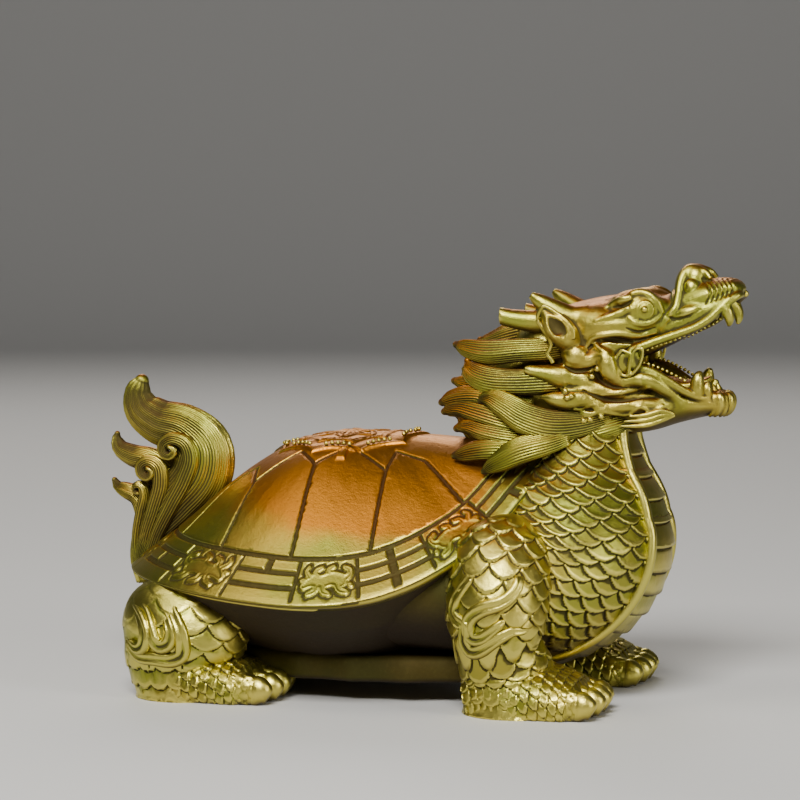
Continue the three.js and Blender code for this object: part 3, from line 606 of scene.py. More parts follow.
class Tree:
    """The node tree of a new material."""

    def __init__(self, name):
        self.material = bpy.data.materials.new(name)
        self.material.use_nodes = True
        self.tree = self.material.node_tree
        self.tree.nodes.clear()

    def node(self, kind, parts=None, inputs=None, output=0):
        made = self.tree.nodes.new(kind)
        for name, value in (parts or {}).items():
            setattr(made, name, value)
        pairs = inputs.items() if isinstance(inputs, dict) else enumerate(inputs or [])
        for name, value in pairs:
            if isinstance(value, Value):
                self.tree.links.new(value.socket, made.inputs[name])
            else:
                made.inputs[name].default_value = value
        return Value(self, made.outputs[output]) if made.outputs else None

    def mix(self, share, first, second):
        inputs = {0: share, 6: first, 7: second}
        return self.node("ShaderNodeMix", {"data_type": "RGBA"}, inputs, output=2)

    def part(self, vector, axis):
        return self.node("ShaderNodeSeparateXYZ", None, [vector], axis)

    def attribute(self, name):
        return self.node("ShaderNodeAttribute", {"attribute_name": name}, output="Fac")

    def surface(self, inputs):
        """Ends the tree with a principled shader."""
        shader = self.node("ShaderNodeBsdfPrincipled", None, inputs)
        self.node("ShaderNodeOutputMaterial", None, [shader])


def colour(text):
    """A linear colour from its sRGB hex digits."""
    parts = [int(text[k : k + 2], 16) / 255 for k in (0, 2, 4)]
    return tuple(((c + 0.055) / 1.055) ** 2.4 if c > 0.04 else c / 12.92 for c in parts)


def brass():
    """Satin cast brass: olive gold, with a painted orange reflection where it faces up, painted
    shade where it faces down and in hollows, a brown tint in its recesses that is partly the
    metal's oxide and partly painted shade, and rubbed edges lightened further as painted
    highlights.
    """
    if "brass" in finish_of:
        return finish_of["brass"]
    look = settings()
    tree = Tree("brass")
    place = tree.node("ShaderNodeTexCoord", output="Object")
    recess, hollow = tree.attribute("recess"), tree.attribute("shelter")
    rise = tree.part(tree.node("ShaderNodeNewGeometry", output="Normal"), "Z")
    high, ahead = tree.part(place, "Z"), tree.part(place, "X")

    def noise(scale, detail):
        inputs = {"Vector": place, "Scale": scale, "Detail": detail, "Roughness": 0.5}
        return tree.node("ShaderNodeTexNoise", None, inputs, "Fac")

    cloud, speck, grit = noise(45.0, 4.0), noise(1100.0, 3.0), noise(3000.0, 2.0)
    # Painted reflection: a coppery tint, standing in for orange light from above mirrored in the
    # metal, lies where the surface looks up, high on the figure and on the dome's flank
    flank = ahead.between(-0.05, -0.01) - ahead.between(0.012, 0.03)
    flank = flank * high.between(0.04, 0.052) * 0.6
    warm_reflection = rise + high.between(0.02, 0.07) * 0.3 + flank + (cloud - 0.5) * 0.5
    warm_reflection = warm_reflection.between(look.warm_from, look.warm_full)
    warm_reflection = warm_reflection * (high.between(0.03, 0.047) * 0.7 + 0.3)
    # Painted shade: umber lies in hollows and where the surface looks down. The brown tint of the
    # recesses is partly the metal's oxide and partly painted shade.
    under = (rise * -1.0 + hollow * 0.45 + (cloud - 0.5) * 0.3).between(0.15, 1.0)
    patina_and_shade = (recess + (speck - 0.5) * 0.06).between(0.015, look.recess_full)
    # Rubbed edges, lighter where the surface bulges out, stand in for painted highlights as well
    rub_and_sheen = (recess * -1.0 + (speck - 0.5) * 0.05).between(0.03, 0.2)
    metal = tree.mix(cloud.between(0.35, 0.65), (*look.olive, 1), (*look.gold, 1))
    # The painted reflection, painted highlights and painted shade are mixed into the metal's colour
    # here
    metal = tree.mix(warm_reflection * look.warmth, metal, (*look.copper_reflection, 1))
    metal = tree.mix(rub_and_sheen * 0.6, metal, (*look.polished_sheen, 1))
    metal = tree.mix(under * 0.92, metal, (*look.umber, 1))
    metal = tree.mix(patina_and_shade * look.patina_and_shade_share, metal, (*look.patina_and_shade_tint, 1))
    height = speck * 0.6 + grit * 0.4
    bump = {"Strength": 0.36, "Distance": 0.0003, "Height": height}
    tree.surface({
        "Base Color": metal,
        "Metallic": 1.0 - patina_and_shade * 0.3 - under * 0.3,
        "Roughness": 0.39 + patina_and_shade * 0.3 + under * 0.14 + (speck - 0.5) * 0.16 - rub_and_sheen * 0.06,
        "Normal": tree.node("ShaderNodeBump", None, bump),
    })
    finish_of["brass"] = tree.material
    return tree.material


# Shell
# A point of the shell is named by its share of the way out from the top, 0 to 1, and its angle
# from the front, in degrees in the tables. The band runs from BAND_START out to the rim.
SHELL_MIDDLE = -21
HALF_LENGTH = 60
HALF_WIDTH = 50
SHELL_TOP = 69.2
BAND_START = 0.8
BAND_WIDTH = 10.8
RING_WIDENING = 1.2
# The rim's height against the share of the half length ahead of the shell's middle
RIM_CLIMB = [
    (-1, 33), (-0.65, 31), (-0.333, 29.6), (-0.017, 28.6), (0.267, 29.8), (0.433, 33),
    (0.583, 37.5), (0.792, 47), (0.883, 56), (0.95, 62), (1, 66),
]
# How much of the dome's rise above the rim is left on the way out
DOME_PROFILE = [
    (0, 1), (0.15, 0.965), (0.3, 0.88), (0.45, 0.73), (0.6, 0.54), (0.77, 0.29), (1, 0),
    (1.2, -0.25),
]
# How far the bowl under the shell has sunk to BELLY_LEVEL on the way out
UNDERSIDE = [(0.05, 1), (0.5, 0.85), (0.8, 0.38), (0.965, 0)]
BELLY_LEVEL = 9
# Lines that part the plates run from the first points out to the band, with the peaks between
COSTAL_LINES = [
    ((0.5, 35), (BAND_START, 38)), ((0.45, 56), (BAND_START, 70)),
    ((0.37, 102), (BAND_START, 95)), ((0.51, 135), (BAND_START, 122)),
    ((0.56, 158), (BAND_START, 150)),
]
VERTEBRAL_PEAKS = [(0.36, 42), (0.25, 76), (0.3, 124), (0.44, 150)]
# Panels of the band lie between these angles. Every other one bears a sign of three bars, given
# as a number with a bit for each bar, for the right side, -1, and the left side, 1.
PANEL_EDGES = [18, 37, 54, 74, 91, 111, 134, 157]
SIGNS = {-1: [3, 0, 6, 5], 1: [1, 7, 4, 2]}

# A beast of the band, drawn as strokes on its panel: points run along the panel towards the
# head and out to the rim, from -1 to 1, then the stroke's radius at its start and end.
BEAST = [
    ([(-0.5, 0.05), (-0.2, -0.1), (0.15, 0.05), (0.42, 0)], 1.7, 1.4),
    ([(0.42, -0.05), (0.62, 0.1), (0.78, 0.3)], 1.5, 0.7),
    ([(0.45, -0.2), (0.4, -0.6), (0.2, -0.75)], 0.6, 0.3),
    ([(0.6, -0.2), (0.78, -0.55), (0.72, -0.8)], 0.55, 0.25),
    ([(-0.5, 0), (-0.78, -0.15), (-0.86, -0.5), (-0.66, -0.7)], 0.8, 0.35),
    ([(-0.4, 0.2), (-0.52, 0.6), (-0.72, 0.75)], 0.9, 0.45),
    ([(0.1, 0.25), (0.06, 0.62), (-0.12, 0.78)], 0.85, 0.4),
    ([(0.3, 0.2), (0.4, 0.6), (0.6, 0.78)], 0.7, 0.35),
    ([(-0.1, -0.3), (-0.05, -0.62), (-0.25, -0.8)], 0.55, 0.3),
    ([(0.82, -0.05), (0.9, 0)], 0.3, 0.3),
    ([(-0.86, 0.35), (-0.9, 0.42)], 0.4, 0.3),
]


def dome(out, angle):
    """Places on the smooth shell, with its tables eased over five steps."""
    turns = np.radians([-6, -3, 0, 3, 6])
    steps = (-0.06, -0.03, 0, 0.03, 0.06)
    rim = sum(along(RIM_CLIMB, np.cos(angle + turn)) for turn in turns) / len(turns)
    left = sum(along(DOME_PROFILE, np.abs(out + step)) for step in steps) / len(steps)
    height = rim + (SHELL_TOP - rim) * left
    x = SHELL_MIDDLE + HALF_LENGTH * out * np.cos(angle)
    y = HALF_WIDTH * out * np.sin(angle)
    return np.stack([x, y, height + 0 * x], -1)


def dome_line(start, end, side, count=40):
    """Places on the dome between two of its points, straight on the shell's plan."""
    ends = [
        (out * math.cos(math.radians(turn)), side * out * math.sin(math.radians(turn)))
        for out, turn in (start, end)
    ]
    share = np.linspace(0, 1, count)
    x = ends[0][0] + (ends[1][0] - ends[0][0]) * share
    y = ends[0][1] + (ends[1][1] - ends[0][1]) * share
    return dome(np.hypot(x, y), np.arctan2(y, x))


def engraved(distance, width, depth):
    """Height across an engraved line: a flat floor, steep sides and thin raised edges."""
    floor = -depth * (1 - smooth((distance - width * 0.32) / (width * 0.3)))
    return floor + 0.05 * bell(distance - width * 0.78, 0.25)


def plank(s, w, half, low, high):
    """1 on a plank of the panel, easing to 0 over its bevelled edge."""
    inside = np.minimum(half - np.abs(s), np.minimum(w - low, high - w))
    return smooth(inside / 0.3 + 0.4)


def trigram_height(s, w, half, sign):
    """Three bars along the panel; bit 0 of the sign, the inner bar, is whole where it is set."""
    pitch, gap = BAND_WIDTH / 3, 1.0
    bars = np.zeros_like(s)
    for bar in range(3):
        low, high = bar * pitch + 0.55, (bar + 1) * pitch - 0.5
        if sign & (1 << bar):
            bars = np.maximum(bars, plank(s, w, half - 0.5, low, high))
            continue
        part = (half - 0.5 - gap) / 2
        for end in (-1, 1):
            bars = np.maximum(bars, plank(s - end * (part + gap), w, part, low, high))
    return -0.5 + 0.55 * bars


def beast_height(s, w, half, flip):
    """A low raised outline round the beast, on a plain sunk panel."""
    places = np.stack([s, w, np.zeros_like(s)], -1)
    border = np.full_like(s, 3.0)  # distance out of the beast's nearest stroke, below 0 inside
    middle = BAND_WIDTH / 2
    for points, start, end in BEAST:
        line = polyline(points, 24) * np.array([flip * (half - 0.8), middle - 1.2])
        line = np.column_stack([line[:, 0], line[:, 1] + middle, np.zeros(len(line))])
        distance, share = line_distance(places, line, 4.0)
        border = np.minimum(border, distance - (start + (end - start) * share))
    height = 0.3 * bell(border, 0.34) + 0.1 * smooth(-border / 0.4)
    height -= 0.22 * bell(border - 0.75, 0.26)
    edge = np.minimum(half - np.abs(s), np.minimum(w, BAND_WIDTH - w))
    height -= 0.4 * bell(edge, 0.3)
    return height - 0.1


def band_height(out, angle, height):
    """Relief of the rim's band, worked into height."""
    turns = np.radians(np.linspace(0, 180, 721))
    steps = np.linalg.norm(np.diff(dome(0.9, turns), axis=0), axis=1)
    lengths = np.concatenate([[0], np.cumsum(steps)])
    marks = [np.interp(math.radians(edge), turns, lengths) for edge in PANEL_EDGES]
    width = (out - BAND_START) / (1 - BAND_START) * BAND_WIDTH
    for side in (-1, 1):
        turn = np.mod(angle * side, 2 * np.pi)
        turn = np.where(turn > np.pi, turn - 2 * np.pi, turn)
        length = np.sign(turn) * np.interp(np.abs(turn), turns, lengths)
        for k, (low, high) in enumerate(zip(marks, marks[1:])):
            half = (high - low) / 2
            here = (out > BAND_START) & (length > low) & (length <= high) & (turn > 0)
            s, w = length[here] - (low + high) / 2, width[here]
            if k % 2 == 0:
                height[here] += trigram_height(s, w, half, SIGNS[side][k // 2])
            else:
                height[here] += beast_height(s, w, half, -1 if k % 4 == 1 else 1)
    rear = 2 * (lengths[-1] - marks[-1])
    turn = np.mod(angle, 2 * np.pi)
    length = np.interp(turn, turns, lengths)
    beyond = 2 * lengths[-1] - np.interp(2 * np.pi - turn, turns, lengths)
    s = np.where(turn > np.pi, beyond, length) - lengths[-1]
    here = (out > BAND_START) & (np.abs(s) <= rear / 2)
    height[here] += beast_height(s[here], width[here], rear / 2, 1)
    return height


def medallion_halves():
    """Half the medallion's length and half its width, in squares."""
    look = settings()
    return look.medallion_length / MM / 2, look.medallion_width / MM / 2


def lobed(reach, turn):
    """A reach that draws in between the medallion's lobes."""
    return reach - 0.12 * np.abs(np.sin(5 * turn)) ** 0.7


def medallion_height(x, y):
    """Relief of the oval medallion on the shell's top: clouds round it and petals within."""
    half_long, half_wide = medallion_halves()
    turn = np.arctan2(y / half_wide, x / half_long)
    out = np.hypot(x / half_long, y / half_wide)
    scale = (half_long + half_wide) / 2
    inside = (lobed(1, turn) - out) * scale
    height = 0.3 * smooth(inside / 0.4 + 0.2)
    within = smooth(inside / 0.3)
    cloud = 0.7 - 0.1 * np.abs(np.sin(5 * turn + 0.4)) ** 0.6
    petals = 0.42 + 0.06 * np.cos(8 * turn)
    for distance, rise, wide in (
        (inside - 0.8, 0.28, 0.34),
        ((out - cloud) * scale, 0.32, 0.36), ((out - cloud + 0.07) * scale, 0.22, 0.26),
        ((out - petals) * scale, 0.32, 0.36), ((out - petals + 0.08) * scale, 0.22, 0.26),
    ):
        height += within * (rise * bell(distance, wide))
    rays = np.abs(np.sin(12 * turn)) ** 3
    height -= 0.3 * rays * smooth((0.4 - out) * 8) * smooth((out - 0.16) * 12)
    height += 0.3 * smooth((0.18 - out) * 9)
    swirl = np.abs(np.sin(5 * turn + 9 * out))
    height += 0.22 * within * swirl**2 * smooth((out - 0.5) * 8) * smooth((0.95 - out) * 8)
    tab = np.maximum(np.abs(x - 2) / 1.5, np.abs(np.abs(y) - half_wide * 0.98) / 2.4)
    height = np.maximum(height, 0.5 * smooth((1 - tab) * 3))
    return height


def dome_forms():
    """The domed top: plates parted by engraved lines, with the medallion in the middle."""
    close_in = BAND_START - np.linspace(0.0178, -0.003, 10)
    outs = np.append(np.arange(0.01, BAND_START - 0.02, 0.0064), close_in)
    out, angle = np.meshgrid(outs, all_round(960), indexing="ij")
    grid = dome(out, angle)
    places = grid.reshape(-1, 3)
    lines = []
    for side in (-1, 1):
        for k, (high, low) in enumerate(COSTAL_LINES):
            lines.append(dome_line(high, low, side))
            if k < len(VERTEBRAL_PEAKS):
                lines.append(dome_line(high, VERTEBRAL_PEAKS[k], side))
                lines.append(dome_line(VERTEBRAL_PEAKS[k], COSTAL_LINES[k + 1][0], side))
    nearest = np.full(len(places), 3.0)
    for line in lines:
        distance, _ = line_distance(places, line, 3.0)
        nearest = np.minimum(nearest, distance)
    nearest = nearest.reshape(out.shape)
    look = settings()
    plate_lines = engraved(nearest, look.groove_width / MM, look.groove_depth / MM)
    height = np.minimum(plate_lines, ring_height(out, angle))
    height = height + medallion_height(grid[..., 0] - SHELL_MIDDLE, grid[..., 1])
    height += smooth(-height / 0.4) * 0.08 * grain(height.shape, 11, 2)
    height += 0.03 * grain(height.shape, 12, 9)
    below = [grid[-1] - drop * UP for drop in (2, 5)]
    return [tube(np.vstack([raised(grid, height), below]))]


def ring_gap(out, angle):
    """Distance from the groove between the dome and the band."""
    reach = np.hypot(HALF_LENGTH * np.cos(angle), HALF_WIDTH * np.sin(angle))
    return np.abs(out - BAND_START) * reach * 1.15


def ring_height(out, angle):
    look = settings()
    width = look.groove_width / MM * RING_WIDENING
    return engraved(ring_gap(out, angle), width, look.groove_depth / MM)


def shell_shade(places):
    """How dark the shell is: the floors of its engraved lines, and painted shade on all that is
    under the rim.
    """
    x = (places[:, 0] - SHELL_MIDDLE) / HALF_LENGTH
    y = places[:, 1] / HALF_WIDTH
    out, angle = np.hypot(x, y), np.arctan2(y, x)
    sunk = dome(out, angle)[:, 2] - places[:, 2]
    floor = 0.2 * smooth((sunk - 0.2) / 0.2) * (1 - smooth((sunk - 0.8) / 0.3))
    ring = 0.2 * (1 - smooth((ring_gap(out, angle) - 0.35) / 0.25)) * (sunk > 0)
    floor = np.maximum(floor, ring)
    # Painted shade under the rim, on the bevel and the bowl below it
    return floor + 0.12 * smooth((sunk - 0.8) / 0.5) + 0.04 * smooth((sunk - 3) / 2)


def old_patina(places):
    """The darker tone that finely stranded parts keep all over."""
    return np.full(len(places), OLD_PATINA)


def under_rim(angles, share, fall):
    """A ring at a share of the way out to the rim, lower by a share of the rim's thickness."""
    ring = dome(np.ones_like(angles), angles)
    thick = 1.4 + 1.6 * smooth((np.cos(angles) + 0.2) / 1.0)
    middle = np.array([SHELL_MIDDLE, 0])
    ring[:, :2] = middle + (ring[:, :2] - middle) * share
    ring[:, 2] -= thick * fall + 0.12
    return ring


def band_forms():
    """The rim with its band of signs and beasts, and the bowl under it."""
    angles = all_round(1160)
    out, angle = np.meshgrid(np.linspace(BAND_START, 0.988, 48), angles, indexing="ij")
    height = band_height(out, angle, ring_height(out, angle))
    height += smooth(-height / 0.3) * 0.09 * grain(height.shape, 13, 2)
    rings = list(raised(dome(out, angle), height))
    for share, fall in ((1.0, 0.05), (1.006, 0.25), (1.005, 0.5), (0.999, 0.75), (0.985, 0.93),
                        (0.96, 1.05), (0.92, 1.1), (0.86, 1.1)):
        rings.append(under_rim(angles, share, fall))
    rings.append(dome(np.full_like(angles, BAND_START), angles) - 5 * UP)
    angles = all_round(240)
    bowl = [under_rim(angles, share, -0.5) for share in (0.05, 0.9)]
    for share in np.concatenate([np.linspace(0.97, 0.5, 26), np.linspace(0.46, 0.06, 9)]):
        ring = under_rim(angles, share, 1.05)
        sunk = along(UNDERSIDE, share)
        ring[:, 2] = ring[:, 2] * (1 - sunk) + BELLY_LEVEL * sunk
        bowl.append(ring)
    return [closed_ring(np.array(rings)), tube(np.array(bowl))]


# Body
# It runs from the throat down the chest and back under the shell. Rows are the middle's x and z,
# the half depth in the mid plane and the half width.
BODY_ROWS = [
    (49, 80, 9, 10), (46.5, 73, 10.2, 13.5), (44.4, 64, 14.8, 18), (42.5, 54, 22.5, 24),
    (39, 43, 27.5, 29.5), (31, 35, 26.5, 33), (14, 31.5, 20.5, 37.5), (-8, 31, 19, 39.5),
    (-32, 31, 18, 38), (-52, 31.5, 14.5, 30), (-67, 31, 7, 18), (-75, 30.5, 1.5, 7),
]
# Half the width of the chest's plates, in degrees, against the share of the body's length, the
# length of a plate, and the share of the body where its relief ends
CHEST_PLATE = [(0, 39), (0.12, 34), (0.3, 27), (1, 27)]
PLATE_LENGTH = 6.4
CHEST_END = 0.55
# The width of a scale beside the plates, and how much narrower it is for each square round
WIDEST, NARROWING = 9.4, 0.05


def plate_turn(t):
    """The angle of the cord beside the chest's plates."""
    return np.radians(along(CHEST_PLATE, t))


def body_skin(t, angles):
    """Rings of the body's skin; angle 0 is the mid line of the chest."""
    rows = [(x, 0, z, deep, wide) for x, z, deep, wide in BODY_ROWS]
    values, tangent = curve(rows, t)
    front = -unit(np.cross(LEFT, tangent))
    ahead = values[:, 3:4] * np.cos(angles)
    aside = values[:, 4:5] * np.sin(angles)
    return ringed(values, front, ahead, LEFT[None], aside)


def body_forms():
    """The body, with scales on its sides and plates down its chest, and the plate under it."""
    t = np.concatenate([np.linspace(0, 0.56, 330), np.linspace(0.565, 1, 50)])
    fine = math.radians(128)
    near = np.linspace(-fine, fine, 560)
    far = np.linspace(fine, 2 * np.pi - fine, 60)[1:-1]
    angles = np.concatenate([near, far])
    grid = body_skin(t, angles)
    lengths = run(grid)
    guide = lengths[:, np.argmin(np.abs(angles - math.radians(50)))]
    row = settings().scale_length / MM
    v = columns(guide / row, len(angles))
    from_front = girth(grid)
    turn = plate_turn(t)[:, None]
    start = np.argmin(np.abs(angles + turn), 1)[:, None]
    other = np.argmin(np.abs(angles - turn), 1)[:, None]
    right = np.take_along_axis(from_front, start, 1) - from_front
    left = from_front - np.take_along_axis(from_front, other, 1)
    beyond = np.clip(np.where(angles < 0, right, left), 0, 110)
    across = np.log(WIDEST / (WIDEST - NARROWING * beyond)) / NARROWING
    across = across / np.interp(t, [0, 0.12, 0.3], [0.72, 0.86, 1])[:, None]
    height = scales(across + 0.25, v, row, 0.95, 0.22, line=0.34)
    middle = lengths[:, np.argmin(np.abs(angles))]
    plates = columns(middle / PLATE_LENGTH, len(angles))
    share = plates - np.floor(plates)
    plate = 0.8 * share**1.5 + 0.3 - 0.5 * bell(share, 0.07)
    on_plate = smooth((np.cos(angles) - np.cos(turn * 1.04)) / 0.02)
    height = height * (1 - on_plate) + plate * on_plate
    ahead = smooth((CHEST_END - t) / 0.04)[:, None]
    turned = np.abs(np.mod(angles + np.pi, 2 * np.pi) - np.pi)
    height = height * ahead * smooth((fine - turned) * 6)
    return [tube(raised(grid, height)), plastron_form()]


def body_shade(places):
    """The painted shade of the body under the shell."""
    return 0.14 * smooth((29 - places[:, 0]) / 5) * smooth((42 - places[:, 2]) / 4)


def plastron_form():
    """The flat plate under the belly, with scalloped edges."""
    half_long, half_wide, middle = 46, 28, -13
    around = all_round(240)
    x = half_long * np.cos(around)
    scallops = 0.05 * np.abs(np.sin(6 * np.pi * x / (2 * half_long)))
    y = half_wide * np.sin(around) * (1 - scallops)
    rims = [(0.05, 5.5), (0.6, 5.5), (0.95, 5.5), (0.985, 6), (1, 7), (1, 11), (0.97, 12.4),
            (0.6, 12.5), (0.05, 12.5)]
    rings = [np.stack([x * share + middle, y * share, 0 * x + z], -1) for share, z in rims]
    return tube(np.array(rings))


# Legs
# Rows are x, y, z and the half sizes across and along the figure. Toes have the middle one's x
# and y and their spread. Ribbons are x and z on a plane of the figure's right.
FRONT_LEG = {
    "leg": [
        (31, -24, 49, 3, 4), (30, -27.5, 44.5, 9, 9.5), (28.8, -31, 37.5, 11.5, 12.5),
        (28.4, -33.5, 30, 11.5, 12.6), (28.2, -34, 24, 10.6, 12.2), (28.3, -33.2, 18, 10, 10.6),
        (30, -31, 11, 11, 11.4), (31.5, -29.5, 2, 12.2, 12.8), (31.5, -29.5, -3, 12.2, 12.8),
    ],
    "foot": [
        (21, -29, 3, 9, 6), (28, -29, 5, 12, 9.5), (38, -28.5, 4.5, 13, 8.5),
        (47, -28, 3.4, 13, 6), (51, -28, 2.4, 12, 3.6),
    ],
    "toes": (48.8, -28, 20),
    "plain_above": 60,
    "plain_behind": -200,
    "ribbons": [
        [(26, 39.5), (24.5, 37), (22, 33.5), (20.3, 30.5), (19.8, 27.5), (20.8, 25.3), (22.5, 24),
         (22.8, 20), (24.5, 17.6), (26.5, 17.8), (29, 19.5), (32, 21.5), (35, 23), (38, 23.3),
         (41, 24.6)],
        [(36.8, 37.2), (36.3, 34.5), (34, 31.5), (31, 29.7), (27.5, 28.5), (25, 27), (23.6, 25),
         (23.6, 22.5), (25, 20.8), (27, 21), (29, 22.5), (32, 25), (33.5, 26.3)],
    ],
    "plane": -44,
}
HIND_LEG = {
    "leg": [
        (-56, -25.6, 29, 2.4, 3.4), (-56.2, -26, 28.4, 6, 8.2), (-56.6, -26.8, 27, 9.4, 12.2),
        (-57.2, -28, 24, 11.8, 15.6), (-57.8, -29, 20.4, 12.6, 16.8),
        (-58.4, -29.5, 16.4, 12.4, 16.8), (-59.2, -29.5, 11, 11.4, 14.8), (-58.5, -29, 2, 11, 12.6),
        (-58.5, -29, -3, 11, 12.6),
    ],
    "foot": [
        (-67, -29, 3.5, 8.5, 6), (-60, -29, 5, 10.5, 8), (-50, -28.5, 4.8, 12, 7),
        (-41, -28, 3.6, 12.5, 6), (-37, -28, 2.6, 11.5, 4),
    ],
    "toes": (-37.5, -28, 19),
    "plain_above": 22,
    "plain_behind": -61,
    "ribbons": [
        [(-68, 25.5), (-65.5, 22), (-64.3, 18), (-65.2, 14.6), (-67, 14.2), (-70, 17)],
        [(-66.5, 26.5), (-64, 23.5), (-62.8, 19.5), (-61.8, 16.5), (-60, 15), (-58, 15.8),
         (-57.4, 18.5), (-58.5, 22.5), (-60, 25)],
        [(-57.3, 29.5), (-57, 25), (-55, 20.5), (-54, 17), (-54.3, 13), (-57, 11.5), (-62, 11.7),
         (-66, 12), (-69, 14.5), (-70.5, 17)],
    ],
    "plane": -42,
}
# Rows ahead of the toe's place, the share of its spread, z and half sizes
TOE = [
    (-8, 0.9, 4.4, 2.4, 3.4), (-2, 1, 4.4, 2.8, 4.1), (2.4, 1, 3.8, 2.7, 3.8),
    (5.2, 1, 3.1, 2.4, 3), (6.3, 1, 2.8, 1.3, 1.5),
]
CLAW = [(1.6, 1, 4, 1.6, 2), (3.2, 1, 3.9, 2.7, 3.9), (5.6, 1, 3.1, 2.6, 3.4), (7, 1, 2.2, 1.5, 2)]
# Below ANKLE the scales of a leg are wide scutes, in rows of ANKLE_ROW
ANKLE, ANKLE_ROW = 9.4, 4.7

# Height and distance of the eye that forms are drawn for, and its turn aside for each square
SIGHT_HEIGHT, SIGHT_DISTANCE, SIGHT_TURN = 139, 800, 0.296


def sighted(x, y, z, plane):
    """A point drawn at x, z on a plane of the figure's right, moved along the line of sight, which
    comes from ahead and above, to its own depth y."""
    nearer = plane - y
    return x + SIGHT_TURN * nearer, y, z + (SIGHT_HEIGHT - z) / SIGHT_DISTANCE * nearer


def leg_skin(rows, x, z):
    """The y of the outer skin of a leg."""
    table = np.array(rows)[::-1]
    middle, side, across, deep = (np.interp(z, table[:, 2], table[:, k]) for k in (0, 1, 3, 4))
    share = min(0.97, abs(x - middle) / deep)
    return side - across * math.sqrt(1 - share * share)


def ribbon(points, rows, plane):
    """A flame of two ridges that lies on the skin of a leg."""
    width, rise, root, sides = 2.1, 1.6, 2.2, 20
    line = polyline(points, 60)
    places = []
    for x, z in line:
        y = leg_skin(rows, x, z)
        for _ in range(3):
            moved = sighted(x, y, z, plane)
            y = leg_skin(rows, moved[0], moved[2])
        places.append(sighted(x, y - 0.9, z, plane))
    taper = np.sin(np.pi * np.clip(np.linspace(0.06, 1.04, 60), 0, 1)) ** 0.35
    values, tangent = curve(np.column_stack([places, taper]), np.linspace(0, 1, 90))
    out = values[:, :3] - np.array([rows[3][0], rows[3][1], 0])
    out[:, 2] = 0
    out = unit(out)
    across = unit(np.cross(tangent, out))
    angle = all_round(sides)
    size = np.clip(values[:, 3:4], 0.05, 1)
    wide = np.cos(angle) * width * size
    dip = 1 - 0.55 * bell(np.cos(angle), 0.3)
    tall = np.sin(angle) * np.where(np.sin(angle) > 0, rise * dip, root) * size
    return tube(ringed(values, across, wide, out, tall))


def leg_form(form):
    """A leg with overlapping scales and wider scutes round its ankle."""
    look = settings()
    row = look.leg_scale / MM
    grid = sections(form["leg"], 200, 260, AHEAD)
    rings, sides, _ = grid.shape
    z = grid[..., 2]
    widest = girth(grid)[60, -1]
    count = int(round(float(widest) / look.leg_scale_width * MM))
    u = np.repeat((np.arange(sides) / sides * count)[None], rings, 0)
    v = columns(run(grid)[:, sides // 4] / row, sides)
    height = scales(u, v, row, 0.9, 0.2, 0.85, 0.34, 0.25)
    height *= smooth((np.linspace(0, 1, rings) - 0.06) * 9)[:, None]
    low = smooth((ANKLE - z) / 0.5)
    v = (ANKLE - z) / ANKLE_ROW + 10
    scutes = scales(u * 1.7, v, ANKLE_ROW, 0.5, 0.24, 0.3, 0.4, 0.6)
    height = height * (1 - low) + scutes * low
    behind = smooth((form["plain_behind"] - grid[..., 0]) / 4) * smooth((z - 11) / 4)
    height *= 1 - 0.9 * np.maximum(behind, smooth((z - form["plain_above"]) / 5))
    return tube(raised(grid, height))


def foot_form(form):
    """A foot with small scales in slanting rows."""
    across, row = 3.1, 2.5
    grid = sections(form["foot"], 170, 240, UP, 0.85)
    rings, sides, _ = grid.shape
    top = sides // 4
    ahead = columns(run(grid)[:, top], sides)
    around = girth(grid)
    down = np.abs(around - around[:, top : top + 1])
    down = np.minimum(down, around[:, -1:] - down)
    u = (ahead * 0.85 - down * 0.5) / across
    v = (ahead * 0.5 + down * 0.85) / row
    height = scales(u, v, row, 0.7, 0.22, 1.1, 0.32, 0.5)
    height *= smooth((0.88 - np.linspace(0, 1, rings)) * 8)[:, None]
    return tube(raised(grid, height))


def toe_forms(x, y, spread):
    """Four toes with finely scaled backs and smooth claws."""
    forms = []
    row, across, steps, sides = 2.3, 8, 60, 60
    for k in range(4):
        share = k / 3 - 0.5
        back = 1.5 * abs(2 * share)
        toe, claw = (
            [(x + ahead - back, y + spread * share * apart, *rest) for ahead, apart, *rest in rows]
            for rows in (TOE, CLAW)
        )
        grid = sections(toe, steps, sides)
        u = np.repeat((np.arange(sides) / sides * across)[None], steps + 1, 0)
        v = columns(run(grid)[:, sides // 4] / row, sides)
        height = scales(u, v, row, 0.3, 0.06, line=0.18)
        height *= smooth((0.6 - np.linspace(0, 1, steps + 1)) * 12)[:, None]
        forms += [tube(raised(grid, height)), sweep(claw, 24, 20)]
    return forms


def leg_forms(form):
    """A leg, its foot, toes and flames, flat on the ground, and the same on the left."""
    forms = [leg_form(form), foot_form(form), *toe_forms(*form["toes"])]
    forms += [ribbon(points, form["leg"], form["plane"]) for points in form["ribbons"]]
    level = []
    for places, quads, triangles in forms:
        places[:, 2] = np.maximum(places[:, 2], 0)
        level.append((places, quads, triangles))
    return level + [mirrored(form) for form in level]


